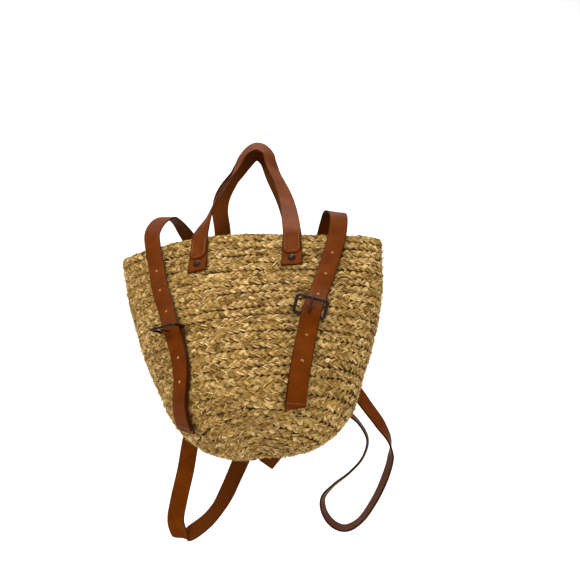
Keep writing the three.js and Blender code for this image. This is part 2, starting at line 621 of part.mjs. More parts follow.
for (const { name, way, rows, drop, tail } of [
  { name: 'left', way: -1, rows: LEFT_LOOP, drop: LOOP_LEFT_DROP, tail: null },
  { name: 'right', way: 1, rows: RIGHT_LOOP, drop: LOOP_RIGHT_DROP, tail: RIGHT_TAIL },
]) {
  const lowerRight = way * LOWER_ANCHOR_SPREAD / 2;
  const upperRight = way * UPPER_ANCHOR_SPREAD / 2;
  const lower = [
    { share: 1.7, lift: FIRST_LAYER },
    { share: 1, lift: FIRST_LAYER },
    { share: 0.2, lift: FIRST_LAYER + 1.6 * LAYER },
  ].map((r) => stationOnBag(lowerRight, r.share * LOWER_ANCHOR_HEIGHT, r.lift, true));
  const upper = [...THROUGH, ...(tail ? [] : LYING)].map((r) => (
    stationOnBag(upperRight, REAR_BUCKLE_HEIGHT + r.above * PASS_LENGTH, r.lift, true)));
  const end = !tail ? [] : [
    ...tail.map((r) => stationOnBag(r.right * upperRight, r.height * REAR_BUCKLE_HEIGHT,
      r.lift * STRAP_WIDTH, true)),
    ...loopStations([TAIL_TIP], drop),
  ];
  const strap = makeStrap([...lower, ...loopStations(rows, drop), ...upper, ...end]);
  addPiece(`${name}_shoulder_strap`, strap, leather);
  addPiece(`${name}_rear_strap`, makeRearStrap(way), leather);
  const heel = { right: upperRight, along: REAR_BUCKLE_HEIGHT, lift: HEEL_LIFT, rear: true };
  placeOnBag(addPiece(`${name}_rear_buckle`, makeBuckle(), bronze), { ...heel, ...TURNED_DOWN });
  placeOnBag(addPiece(`${name}_rear_prong`, makeProng(REAR_PRONG), bronze), { ...heel, ...TURNED_DOWN });
  placeOnBag(addPiece(`${name}_upper_rivet`, makeRivet(), bronze), {
    right: upperRight,
    along: WALL_HEIGHT - UPPER_ANCHOR_DROP * UPPER_RIVET,
    lift: FIRST_LAYER + LAYER + STRAP_THICKNESS / 2 + 2 * LAYER_GAP,
    rear: true,
  });
  placeOnBag(addPiece(`${name}_lower_rivet`, makeRivet(), bronze), {
    right: lowerRight,
    along: LOWER_RIVET * LOWER_ANCHOR_HEIGHT,
    lift: ON_FIRST_STRAP,
    rear: true,
  });
}

export default bag;
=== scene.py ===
import math
import bpy
import numpy as np
from mathutils import Matrix, Vector


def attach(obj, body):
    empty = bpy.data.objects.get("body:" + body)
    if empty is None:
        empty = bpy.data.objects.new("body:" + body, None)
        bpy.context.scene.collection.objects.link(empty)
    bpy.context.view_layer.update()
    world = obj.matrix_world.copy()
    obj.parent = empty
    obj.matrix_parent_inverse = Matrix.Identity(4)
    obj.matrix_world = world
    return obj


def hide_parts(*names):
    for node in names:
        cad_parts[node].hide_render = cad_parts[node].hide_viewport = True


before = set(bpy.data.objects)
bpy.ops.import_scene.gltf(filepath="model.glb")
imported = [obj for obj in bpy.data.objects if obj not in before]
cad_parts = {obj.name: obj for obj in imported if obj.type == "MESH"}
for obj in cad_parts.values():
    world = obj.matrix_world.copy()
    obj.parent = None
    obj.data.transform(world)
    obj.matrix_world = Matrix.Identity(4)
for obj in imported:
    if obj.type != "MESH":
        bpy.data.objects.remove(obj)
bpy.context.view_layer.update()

# Sizes in millimetres, the same as the part's

MOUTH_WIDTH = 358
MOUTH_DEPTH = 90
BASE_WIDTH = 230
BASE_DEPTH = 188
WALL_HEIGHT = 227
BASE_SAG = 52
BASE_ASIDE = 6
BASE_LEAN = 5
BRAID_THICKNESS = 7
ROW_PITCH = 11.2
EDGE_ROUNDING = 14
SIDE_DROOP = 5
FOLD_POWER = 1.25
SIDE_POWER = 3.3
BASE_REACH = BASE_WIDTH / 2

MOUTH_ASIDE = -12
MOUTH_FORWARD = 55
MOUTH_BELOW = 145
HANG_TILT = 15
HANG_ROLL = 4
HANG_YAW = -15
MOUTH_SKEW = 6
LEFT_FLARE = 8
FLARE_FROM = 0.55

STRAP_WIDTH = 23
STRAP_THICKNESS = 2.4
LAYER_GAP = 0.5
FRONT_HANDLE_SPREAD = 124
REAR_HANDLE_SPREAD = 108
FRONT_HANDLE_ASIDE = 7
REAR_HANDLE_ASIDE = -3
HANDLE_TAB = 53
BELT_SPREAD = 0.693 * MOUTH_WIDTH
BELT_RISE = 44
UPPER_ANCHOR_SPREAD = 170
UPPER_ANCHOR_DROP = 42
LOWER_ANCHOR_SPREAD = 100
LOWER_ANCHOR_HEIGHT = 24
RIVET_HEAD = 10
RIVET_HEIGHT = 3
# Rivets' places: down from the rim in handle tabs and in upper anchor drops, up from the base in lower
# anchor heights
HANDLE_RIVET = 0.8
UPPER_RIVET = 0.65
LOWER_RIVET = 1.25

BUCKLE_WIDTH = 40
BUCKLE_LENGTH = 24
BUCKLE_WIRE = 4
FRONT_BUCKLE_HEIGHT = 0.42 * WALL_HEIGHT
REAR_BUCKLE_HEIGHT = 0.565 * WALL_HEIGHT
REAR_BUCKLE_LIFT = 38
BUCKLE_CORNER = 5
PASS_LENGTH = 14
LOOP_SPREAD = 0.948 * BASE_WIDTH
LOOP_LEFT_DROP = 107
LOOP_RIGHT_DROP = 92

WALL_PROFILE = {
    "height": (0.0, 0.06, 0.14, 0.27, 0.47, 0.7, 0.85, 1.0),
    "width": (0.0, 0.07, 0.18, 0.4, 0.67, 0.88, 0.94, 1.0),
    "depth": (0.0, 0.04, 0.09, 0.2, 0.41, 0.72, 0.9, 1.0),
}

RIM_LINE = {
    "right": (-1, -0.72, -0.45, -0.2, 0.1, 0.45, 0.75, 1),
    "rise": (0.02, 0.018, 0.025, 0.024, 0.012, -0.014, -0.016, 0.004),
}

LAYER = STRAP_THICKNESS + LAYER_GAP
FIRST_LAYER = STRAP_THICKNESS / 2 + LAYER_GAP
# Lifts off the straw: of a strap on another, of one on a lap, and of one that comes down from a heel bar,
# gently and steeply
ON_STRAP = FIRST_LAYER + 1.1 * LAYER
ON_LAP = FIRST_LAYER + 1.2 * LAYER
NEAR_HEEL = FIRST_LAYER + 1.7 * LAYER
STEEP_NEAR_HEEL = FIRST_LAYER + 2.2 * LAYER
HEEL_HALF = BUCKLE_WIRE * math.sqrt(0.5)
HEEL_LIFT = STRAP_THICKNESS + 2 * LAYER_GAP + HEEL_HALF
OVER_HEEL = HEEL_LIFT + HEEL_HALF + LAYER_GAP + STRAP_THICKNESS / 2

# What the braid is plaited of, and how far its parts stray from even rows; blades in shares of a strand

STRANDS = 3
STRAND_PERIOD = 23
STRAND_WAVE = 3.2
STRAND_RISE = 1.3
STRAND_HALF_WIDTH = 2.9
STRAND_HALF_HEIGHT = 1.45
STEPS_PER_PERIOD = 10
BLADES = (-0.64, 0.0, 0.64)
BLADE_WIDTH = 0.4
BLADE_HEIGHT = 0.72
BLADE_SIDES = 5
ROW_FILL = 0.95
ROW_STRAY = 0.4
STRAND_STRAY = 0.35
STRAND_BOB = 0.25
BLADE_STRAY = 0.28
WALL_PARTS = ("straw_wall_top", "straw_wall_upper", "straw_wall_lower", "straw_wall_foot")
WISPS_PER_PART = 830
BASE_WISPS = 1000
CORE_SIDES = 120
CORE_RINGS = 24
# How far below the rim the core ends
CORE_INSET = 2.5

random = np.random.default_rng(11)

turn = (Matrix.Rotation(math.radians(-HANG_ROLL), 3, "Y")
        @ Matrix.Rotation(math.radians(-HANG_TILT), 3, "X")
        @ Matrix.Rotation(math.radians(HANG_YAW), 3, "Z"))
BAG_TURN = np.array(turn)
BAG_PLACE = np.array((MOUTH_ASIDE, -MOUTH_FORWARD, -MOUTH_BELOW), float)
SIDES = (("left", -1), ("right", 1))


def to_world(points):
    return np.asarray(points) @ BAG_TURN.T + BAG_PLACE


def to_bag(points):
    return (np.asarray(points) - BAG_PLACE) @ BAG_TURN


def unit(v):
    return v / np.maximum(np.linalg.norm(v, axis=-1, keepdims=True), 1e-9)


# The basket's outer face by angle and by distance along the wall, negative on the base

def plain_shell(angle, along):
    angle, along = np.broadcast_arrays(np.asarray(angle, float), np.asarray(along, float))
    c, s = np.cos(angle), np.sin(angle)
    r = np.clip(1 + along / BASE_REACH, 0, None)
    power = FOLD_POWER + (SIDE_POWER - FOLD_POWER) * c * c
    sag = -WALL_HEIGHT - BASE_SAG * (1 - r ** power) - BASE_LEAN * c * r
    base = np.stack((BASE_ASIDE + c * r * BASE_WIDTH / 2, s * r * BASE_DEPTH / 2, sag), -1)
    t = np.clip(along / WALL_HEIGHT, 0, 1)
    wide = np.interp(t, WALL_PROFILE["height"], WALL_PROFILE["width"])
    deep = np.interp(t, WALL_PROFILE["height"], WALL_PROFILE["depth"])
    width = (BASE_WIDTH + (MOUTH_WIDTH - BASE_WIDTH) * wide) / 2
    depth = (BASE_DEPTH + (MOUTH_DEPTH - BASE_DEPTH) * deep) / 2
    droop = SIDE_DROOP * (1 - (1 - t) ** 3) * c * c
    skew = math.tan(math.radians(MOUTH_SKEW)) * c * width * t
    rise = np.interp(c, RIM_LINE["right"], RIM_LINE["rise"]) * WALL_HEIGHT * t * t
    lean = BASE_LEAN * c * (1 - t) ** 2
    height = along - WALL_HEIGHT - droop - skew + rise - lean
    flare = LEFT_FLARE * np.clip((t - FLARE_FROM) / (1 - FLARE_FROM), 0, 1) * np.minimum(0, c) * -c
    wall = np.stack((BASE_ASIDE * (1 - t) + c * width + flare, s * depth, height), -1)
    return np.where((along < 0)[..., None], base, wall)


def shell_point(angle, along):
    angle, along = np.broadcast_arrays(np.asarray(angle, float), np.asarray(along, float))
    reach = np.minimum(EDGE_ROUNDING, WALL_HEIGHT - along)
    half = np.minimum(EDGE_ROUNDING / 2, reach)
    total = 2 * plain_shell(angle, along)
    for step in (-reach, reach, -half, half):
        total = total + plain_shell(angle, along + step)
    plain = (along <= EDGE_ROUNDING - BASE_REACH)[..., None]
    return np.where(plain, plain_shell(angle, along), total / 6)


def shell_normal(angle, along):
    low = np.maximum(along - 0.5, 0.2 - BASE_REACH)
    high = np.minimum(along + 0.5, WALL_HEIGHT)
    up = shell_point(angle, high) - shell_point(angle, low)
    mid = (low + high) / 2
    around = shell_point(angle + 0.01, mid) - shell_point(angle - 0.01, mid)
    return unit(np.cross(around, up))


def station_on_bag(right, along, lift, rear=False):
    along = float(along)
    low, high = shell_point(math.pi, along)[0], shell_point(0, along)[0]
    share = np.clip(2 * (right - low) / (high - low) - 1, -1, 1)
    angle = math.acos(share) * (1 if rear else -1)
    face = shell_normal(angle, along)
    return shell_point(angle, along) + face * lift, face


def free_station(x, y, z, *face):
    return to_bag((x, y, z)), unit(np.array(face, float)) @ BAG_TURN


# Meshes

def make_mesh(name, points, faces, attributes):
    """points in the bag's own millimetres; attributes are per point"""
    mesh = bpy.data.meshes.new(name)
    points = to_world(points) / 1000
    faces = np.asarray(faces, np.int32)
    sizes = (faces >= 0).sum(1)
    mesh.vertices.add(len(points))
    mesh.vertices.foreach_set("co", points.astype(np.float32).ravel())
    mesh.loops.add(int(sizes.sum()))
    mesh.loops.foreach_set("vertex_index", faces[faces >= 0])
    mesh.polygons.add(len(faces))
    mesh.polygons.foreach_set("loop_start", (np.cumsum(sizes) - sizes).astype(np.int32))
    mesh.polygons.foreach_set("use_smooth", np.ones(len(faces), bool))
    mesh.update(calc_edges=True)
    for key, values in attributes.items():
        values = np.asarray(values, np.float32)
        kind, field = ("FLOAT", "value") if values.ndim == 1 else ("FLOAT_VECTOR", "vector")
        attribute = mesh.attributes.new(key, kind, "POINT")
        attribute.data.foreach_set(field, values.ravel())
    mesh.validate()
    made = bpy.data.objects.new(name, mesh)
    bpy.context.scene.collection.objects.link(made)
    return made


def tube_faces(rings, sides, closed):
    """quads of a tube whose points lie ring after ring"""
    i = np.arange(rings if closed else rings - 1)[:, None]
    j = np.arange(sides)[None, :]
    a = i * sides + j
    b = i * sides + (j + 1) % sides
    following = (i + 1) % rings
    c = following * sides + (j + 1) % sides
    d = following * sides + j
    return np.stack(np.broadcast_arrays(a, b, c, d), -1).reshape(-1, 4)


class Batch:
    """points, faces and attributes of many small bodies for one mesh"""

    def __init__(self):
        self.points, self.faces, self.attributes, self.count = [], [], {}, 0

    def add(self, points, faces=(), **attributes):
        """a body whose faces count its own points; gives back the number of its first point"""
        first = self.count
        self.points.append(points)
        self.count += len(points)
        for key, values in attributes.items():
            self.attributes.setdefault(key, []).append(values)
        if len(faces):
            self.link(np.asarray(faces) + first)
        return first

    def link(self, faces):
        """faces that count all the points so far"""
        faces = np.asarray(faces)
        if faces.shape[1] == 3:
            faces = np.hstack((faces, np.full((len(faces), 1), -1)))
        self.faces.append(faces)

    def make(self, name):
        attributes = {key: np.concatenate(v) for key, v in self.attributes.items()}
        return make_mesh(name, np.concatenate(self.points), np.concatenate(self.faces), attributes)


def finish_piece(piece, material, slot_name, *nodes):
    piece.data.materials.append(material)
    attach(piece, "root")
    if nodes:
        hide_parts(*nodes)


# Materials

class Nodes:
    """short calls for a material's nodes"""

    def __init__(self, name):
        self.material = bpy.data.materials.new(name)
        self.material.use_nodes = True
        self.tree = self.material.node_tree
        self.shader = next(n for n in self.tree.nodes if n.type == "BSDF_PRINCIPLED")

    def add(self, kind, **settings):
        node = self.tree.nodes.new(kind)
        for key, value in settings.items():
            if hasattr(node, key):
                setattr(node, key, value)
            else:
                self.put(node.inputs[key.replace("_", " ")], value)
        return node

    def put(self, socket, value):
        if isinstance(value, bpy.types.NodeSocket):
            self.tree.links.new(value, socket)
        else:
            socket.default_value = value

    def attribute(self, name, output="Vector"):
        return self.add("ShaderNodeAttribute", attribute_name=name).outputs[output]

    def math(self, operation, a, b=0.0, c=0.0):
        node = self.add("ShaderNodeMath", operation=operation)
        for socket, value in zip(node.inputs, (a, b, c)):
            self.put(socket, value)
        return node.outputs[0]

    def scaled(self, vector, scale):
        node = self.add("ShaderNodeMapping")
        self.put(node.inputs["Vector"], vector)
        node.inputs["Scale"].default_value = scale
        return node.outputs[0]

    def noise(self, vector, scale, detail=2.0, roughness=0.5):
        node = self.add("ShaderNodeTexNoise", Scale=scale, Detail=detail, Roughness=roughness)
        self.put(node.inputs["Vector"], vector)
        return node.outputs["Fac"]

    def ramp(self, factor, *stops):
        node = self.add("ShaderNodeValToRGB")
        elements = node.color_ramp.elements
        while len(elements) < len(stops):
            elements.new(0.5)
        for element, (position, colour) in zip(elements, stops):
            element.position = position
            element.color = (*colour, 1)
        self.put(node.inputs[0], factor)
        return node.outputs[0]

    def range(self, value, low, high, to_low=0.0, to_high=1.0):
        node = self.add("ShaderNodeMapRange", interpolation_type="SMOOTHSTEP")
        for socket, number in zip(node.inputs, (value, low, high, to_low, to_high)):
            self.put(socket, number)
        return node.outputs[0]

    def mix(self, factor, a, b, blend="MIX"):
        node = self.add("ShaderNodeMix", data_type="RGBA", blend_type=blend)
        self.put(node.inputs[0], factor)
        self.put(node.inputs[6], a)
        self.put(node.inputs[7], b)
        return node.outputs[2]

    def bump(self, height, strength, distance):
        node = self.add("ShaderNodeBump", Strength=strength, Distance=distance)
        self.put(node.inputs["Height"], height)
        return node.outputs[0]

    def surface(self, **inputs):
        for key, value in inputs.items():
            self.put(self.shader.inputs[key.replace("_", " ")], value)
        return self.material


def rgb(r, g, b):
    """linear colour from 0 to 255 screen values"""
    def linear(x):
        x /= 255
        return x / 12.92 if x <= 0.04045 else ((x + 0.055) / 1.055) ** 2.4
    return linear(r), linear(g), linear(b)


def straw_material():
    n = Nodes("straw")
    fibre = n.attribute("fibre")
    depth = n.attribute("depth", "Fac")
    tone = n.attribute("tone", "Fac")
    streaks = n.noise(n.scaled(fibre, (0.06, 0.7, 1)), 2.2, 4, 0.65)
    fine = n.noise(n.scaled(fibre, (0.16, 2.4, 1)), 4.0, 3, 0.6)
    mixed = n.math("MULTIPLY_ADD", fine, 0.4, n.math("MULTIPLY", streaks, 0.6))
    shade = n.math("ADD", mixed, n.math("MULTIPLY", tone, 0.11))
    colour = n.ramp(shade,
                    (0.31, rgb(84, 58, 18)),
                    (0.43, rgb(136, 103, 44)),
                    (0.56, rgb(180, 142, 76)),
                    (0.7, rgb(232, 202, 140)))
    # Painted shade: the straw is multiplied darker towards the hollows between strands, where a point
    # stands less far out
    dark = n.range(depth, 0.25, 0.85)
    colour = n.mix(dark, n.mix(1.0, colour, (*rgb(132, 100, 48), 1), "MULTIPLY"), colour)
    height = n.math("MULTIPLY_ADD", fine, 0.5, streaks)
    return n.surface(Base_Color=colour, Roughness=0.65, Specular_IOR_Level=0.15,
                     Normal=n.bump(height, 0.7, 0.0007))


def leather_material():
    n = Nodes("leather")
    strap = n.attribute("strap")
    split = n.add("ShaderNodeSeparateXYZ")
    n.put(split.inputs[0], strap)
    across, side = split.outputs[1], split.outputs[2]
    place = n.attribute("place")
    cloud = n.noise(place, 0.045, 4, 0.6)
    grain = n.noise(place, 1.4, 3, 0.6)
    pores = n.add("ShaderNodeTexVoronoi", Scale=1.1)
    n.put(pores.inputs["Vector"], place)
    face = n.ramp(cloud, (0.3, rgb(76, 31, 1)), (0.5, rgb(87, 38, 2)), (0.72, rgb(99, 45, 4)))
    # Painted shade: the outer face darkens towards the strap's edges
    painted_edge_shade = n.range(n.math("ABSOLUTE", across), 0.84, 1.0)
    face = n.mix(n.math("MULTIPLY", painted_edge_shade, 0.35), face, (*rgb(56, 22, 3), 1))
    rear = n.ramp(n.noise(place, 0.5, 4, 0.7), (0.3, rgb(70, 31, 3)), (0.7, rgb(92, 43, 6)))
    paint = (*rgb(50, 21, 5), 1)
    raw = (*rgb(206, 160, 108), 1)
    colour = n.mix(n.range(side, -0.9, -0.5), rear, paint)
    colour = n.mix(n.range(side, 0.5, 0.9), colour, face)
    colour = n.mix(n.range(side, 1.3, 1.8), colour, raw)
    height = n.math("MULTIPLY_ADD", pores.outputs["Distance"], 0.5, grain)
    rough = n.range(grain, 0.2, 0.8, 0.5, 0.64)
    return n.surface(Base_Color=colour, Roughness=rough, Specular_IOR_Level=0.06,
                     Specular_Tint=(1, 0.6, 0.3, 1),
                     Normal=n.bump(height, 0.25, 0.0003))


def bronze_material():
    n = Nodes("bronze")
    place = n.attribute("place")
    wear = n.noise(place, 0.35, 4, 0.6)
    colour = n.ramp(wear, (0.35, rgb(28, 17, 15)), (0.6, rgb(50, 33, 27)), (0.75, rgb(92, 66, 48)))
    return n.surface(Base_Color=colour, Metallic=0.85, Roughness=n.range(wear, 0.3, 0.7, 0.48, 0.3),
                     Normal=n.bump(n.noise(place, 1.2, 2), 0.15, 0.0002))


def thread_material():
    n = Nodes("thread")
    twist = n.noise(n.scaled(n.attribute("place"), (1, 1, 3)), 2.5, 2)
    colour = n.ramp(twist, (0.3, rgb(96, 50, 24)), (0.7, rgb(150, 92, 52)))
    return n.surface(Base_Color=colour, Roughness=0.7, Normal=n.bump(twist, 0.3, 0.0002))


STRAW = straw_material()
LEATHER = leather_material()
BRONZE = bronze_material()
THREAD = thread_material()


# Straw: each row is a closed plait of three strands that follows the wall

def smooth_noise(count, knots, size):
    """a closed wavering line with about that many bends"""
    knots = max(3, int(knots))
    values = random.normal(0, size, knots)
    at = np.arange(count) / count * knots
    i = at.astype(int)
    mix = at - i
    mix = mix * mix * (3 - 2 * mix)
    return values[i % knots] * (1 - mix) + values[(i + 1) % knots] * mix


def row_line(along):
    """angle at even steps of length round the row, and the row's length"""
    angle = np.linspace(0, 2 * math.pi, 721)
    line = shell_point(angle, along)
    length = np.concatenate(([0], np.cumsum(np.linalg.norm(np.diff(line, axis=0), axis=1))))
    return angle, length


def add_row(batch, along, pitch):
    """a plait of three strands, each a flat bunch of three blades"""
    angle, length = row_line(along)
    periods = max(2, round(length[-1] / STRAND_PERIOD))
    count = periods * STEPS_PER_PERIOD
    place = np.arange(count) / count
    at = np.interp(place * length[-1], length, angle)
    wave = along + smooth_noise(count, periods / 3, ROW_STRAY)
    wave = np.minimum(wave, WALL_HEIGHT - pitch / 2 + ROW_STRAY)
    line, outward = shell_point(at, wave), shell_normal(at, wave)
    around = unit(np.roll(line, -1, 0) - np.roll(line, 1, 0))
    up = unit(np.cross(outward, around))
    above = np.minimum(wave + pitch / 2, WALL_HEIGHT)
    below = np.maximum(wave - pitch / 2, -BASE_REACH)
    reach = np.linalg.norm(shell_point(at, above) - shell_point(at, below), axis=1)
    fit = ROW_FILL * np.clip(reach / ROW_PITCH, 0.8, 1.7)
    start = random.random()
    section = np.arange(BLADE_SIDES) / BLADE_SIDES * 2 * math.pi
    c, s = np.cos(section), np.sin(section)
    top = STRAND_RISE + STRAND_HALF_HEIGHT
    for strand in range(STRANDS):
        phase = 2 * math.pi * (place * periods + strand / STRANDS + start)
        side = STRAND_WAVE * fit * np.sin(phase) + smooth_noise(count, periods * 2, STRAND_STRAY)
        rise = STRAND_RISE * np.sin(2 * phase) + smooth_noise(count, periods * 2, STRAND_BOB)
        centre = line + up * side[:, None] + outward * (rise - BRAID_THICKNESS / 2)[:, None]
        way = unit(np.roll(centre, -1, 0) - np.roll(centre, 1, 0))
        flat = unit(np.cross(outward, way))
        lift = np.cross(way, flat)
        bunch = STRAND_HALF_WIDTH * fit
        strand_tone = smooth_noise(count, periods * 1.5, 0.5)
        for blade in BLADES:
            shift = blade * bunch + smooth_noise(count, periods * 2, BLADE_STRAY)
            low = -0.35 * abs(blade) + smooth_noise(count, periods * 2.5, BLADE_STRAY)
            middle = centre + flat * shift[:, None] + lift * low[:, None]
            wide = BLADE_WIDTH * bunch * (1 + smooth_noise(count, periods * 3, 0.16))
            high = BLADE_HEIGHT * STRAND_HALF_HEIGHT * (1 + smooth_noise(count, periods * 3, 0.12))
            points = (middle[:, None] + flat[:, None] * (wide[:, None] * c)[..., None]
                      + lift[:, None] * (high[:, None] * s)[..., None])
            # How far out each point stands, by which the straw is painted darker in the hollows as shade
            outside = (rise + low)[:, None] + high[:, None] * s
            depth = np.clip((outside + top) / (2 * top), 0, 1)
            u = place * length[-1]
            own = random.random() * 100
            fibre = np.stack(np.broadcast_arrays(u[:, None], section[None], own), -1)
            tone = strand_tone + smooth_noise(count, periods * 2.5, 0.75)
            tone = np.broadcast_to(tone[:, None], depth.shape)
            batch.add(points.reshape(-1, 3), tube_faces(count, BLADE_SIDES, True),
                      depth=depth.ravel(), tone=tone.ravel(), fibre=fibre.reshape(-1, 3))


def add_wisps(batch, count, low, high):
    """loose fibre ends that stand off the plait"""
    for _ in range(count):
        angle = random.uniform(-math.pi, math.pi)
        along = random.uniform(low, high)
        start, outward = shell_point(angle, along), shell_normal(angle, along)
        around = unit(shell_point(angle + 0.01, along) - start)
        up = np.cross(outward, around)
        heading = random.normal(0.5, 0.35) * random.choice((-1, 1)) + random.choice((0, math.pi))
        way = around * math.cos(heading) + up * math.sin(heading)
        size = random.uniform(4, 11)
        steps = np.linspace(0, 1, 4)[:, None]
        bend = random.uniform(0.3, 1.6)
        line = (start - outward * 0.9 + way * size * steps
                + outward * bend * np.sin(steps * math.pi * random.uniform(0.5, 1)))
        half = np.cross(way, outward) * random.uniform(0.15, 0.55)
        points = np.concatenate((line - half, line + half * (1 - steps)))
        faces = [(i, i + 1, i + 5, i + 4) for i in range(3)]
        own = random.random() * 100
        batch.add(points, faces, depth=np.ones(8), tone=np.full(8, random.normal(0.2, 1.1)),
                  fibre=np.column_stack((np.tile(steps[:, 0] * size, 2), np.zeros(8), np.full(8, own))))


def add_core(batch, low, high):
    """a sheet under the braid, painted in the straw's darkest shade, which closes the chinks between
    strands
    """
    angles = np.arange(CORE_SIDES) / CORE_SIDES * 2 * math.pi
    alongs = np.linspace(low, high, CORE_RINGS)
    grid_angle, grid_along = np.meshgrid(angles, alongs)
    points = shell_point(grid_angle, grid_along)
    points = points - shell_normal(grid_angle, grid_along) * BRAID_THICKNESS / 2
    points = points.reshape(-1, 3)
    count = len(points)
    # Depth 0 and tone -2 paint the sheet as shade, the darkest the straw gets
    batch.add(points, tube_faces(CORE_RINGS, CORE_SIDES, False), depth=np.zeros(count),
              tone=np.full(count, -2.0), fibre=np.zeros((count, 3)))


def make_straw():
    wall_rows = round(WALL_HEIGHT / ROW_PITCH)
    base_rows = round(BASE_REACH / ROW_PITCH)
    wall_pitch, base_pitch = WALL_HEIGHT / wall_rows, BASE_REACH / base_rows
    edges = [round(wall_rows * (1 - k / len(WALL_PARTS))) for k in range(len(WALL_PARTS) + 1)]
    for name, last, first in zip(WALL_PARTS, edges, edges[1:]):
        batch = Batch()
        for row in range(first, last):
            add_row(batch, (row + 0.5) * wall_pitch, wall_pitch)
        add_wisps(batch, WISPS_PER_PART, first * wall_pitch, (last - 0.5) * wall_pitch)
        add_core(batch, first * wall_pitch, last * wall_pitch - CORE_INSET * (last == wall_rows))
        finish_piece(batch.make(name), STRAW, "straw", "basket")
    batch = Batch()
    for row in range(base_rows):
        add_row(batch, (row + 0.5) * base_pitch - BASE_REACH, base_pitch)
    add_wisps(batch, BASE_WISPS, -BASE_REACH * 0.85, 0)
    add_core(batch, 0.5 - BASE_REACH, 0)
    finish_piece(batch.make("straw_base"), STRAW, "straw", "basket")


make_straw()


# Straps

def curve_through(points, per_gap=40):
    """a centripetal Catmull-Rom line through the points, with the share of each gap"""
    points = np.asarray(points, float)
    ends = (2 * points[0] - points[1], 2 * points[-1] - points[-2])
    padded = np.vstack((ends[0], points, ends[1]))
    out, share = [], []
    last = len(points) - 2
    for i in range(len(points) - 1):
        p = padded[i:i + 4]
        gap = np.linalg.norm(np.diff(p, axis=0), axis=1) ** 0.5
        t1 = (p[1] - p[0]) / gap[0] - (p[2] - p[0]) / (gap[0] + gap[1]) + (p[2] - p[1]) / gap[1]
        t2 = (p[2] - p[1]) / gap[1] - (p[3] - p[1]) / (gap[1] + gap[2]) + (p[3] - p[2]) / gap[2]
        t1, t2 = t1 * gap[1], t2 * gap[1]
        t = (np.arange(per_gap + (i == last)) / per_gap)[:, None]
        out.append(p[1] + t1 * t + (3 * (p[2] - p[1]) - 2 * t1 - t2) * t ** 2
                   + (2 * (p[1] - p[2]) + t1 + t2) * t ** 3)
        share.append(i + t[:, 0])
    return np.vstack(out), np.concatenate(share)


def at_lengths(at, length, values):
    """vectors along a line, at those lengths"""
    return np.stack([np.interp(at, length, values[:, k]) for k in range(3)], -1)


def strap_line(stations):
    line, share = curve_through([s[0] for s in stations])
    faces = np.array([s[1] for s in stations])
    i = np.minimum(share.astype(int), len(faces) - 2)
    mix = (share - i)[:, None]
    face = faces[i] * (1 - mix) + faces[i + 1] * mix
    tangent = unit(np.gradient(line, axis=0))
    face = unit(face - (face * tangent).sum(1, keepdims=True) * tangent)
    length = np.concatenate(([0], np.cumsum(np.linalg.norm(np.diff(line, axis=0), axis=1))))
    widths = np.array([s[2] if len(s) > 2 else 1.0 for s in stations])
    wide = widths[i] * (1 - mix[:, 0]) + widths[i + 1] * mix[:, 0]
    return line, face, tangent, length, wide


STRAP_STEP = 2.4
# A strap's edges curl back by the cup, and its middle stands up by the crown
STRAP_CUP = 0.25
STRAP_CROWN = 0.12
STRAP_BEVEL = 0.9
# A round hole stands in a square cell, whose half side this is, and is wider in front than behind
HOLE_CELL = 2.6
HOLE_ROOM = 0.8
HOLE_FRONT, HOLE_REAR = 1.75, 0.9
HOLE_SIDES = 12
COLUMNS = (-10.5, -7.5, -HOLE_CELL, HOLE_CELL, 7.5, 10.5)
EDGE_TURN = (math.radians(50), 0, math.radians(-50))
# The third value of the attribute strap, which the leather reads
FRONT_FACE, EDGE, REAR_FACE, HOLE_WALL = 1.0, 0.0, -1.0, 2.0


def curl(across):
    """how far a strap's face stands out there"""
    return STRAP_CROWN - STRAP_CUP * (across * 2 / STRAP_WIDTH) ** 2


def strap_section(thickness):
    """a strap's outline: across, off its middle, and which side that is"""
    half, thick = STRAP_WIDTH / 2, thickness / 2
    bevel = min(STRAP_BEVEL, thick * 0.8)
    section = [(x, thick, FRONT_FACE) for x in COLUMNS]
    section += [(half - bevel + bevel * math.cos(a), thick * math.sin(a), EDGE) for a in EDGE_TURN]
    section += [(x, -thick, REAR_FACE) for x in reversed(COLUMNS)]
    section += [(-half + bevel - bevel * math.cos(a), -thick * math.sin(a), EDGE) for a in EDGE_TURN]
    return np.array(section).T


def strap_rings(length, holes):
    """even steps along a strap, apart from a cell at each hole"""
    at = np.linspace(0, length, max(4, round(length / STRAP_STEP)))
    for hole in holes:
        at = at[abs(at - hole) > HOLE_CELL + HOLE_ROOM]
        at = np.append(at, (hole - HOLE_CELL, hole + HOLE_CELL))
    return np.sort(at)


def hole_rim(corners, radius):
    """a circle in the middle of a cell with those corners"""
    turned = np.arange(HOLE_SIDES) / HOLE_SIDES * 2 * math.pi + math.radians(225)
    u = (0.5 + np.cos(turned) * radius / HOLE_CELL / 2)[:, None]
    v = (0.5 + np.sin(turned) * radius / HOLE_CELL / 2)[:, None]
    near = corners[0] * (1 - u) + corners[1] * u
    far = corners[3] * (1 - u) + corners[2] * u
    return near * (1 - v) + far * v


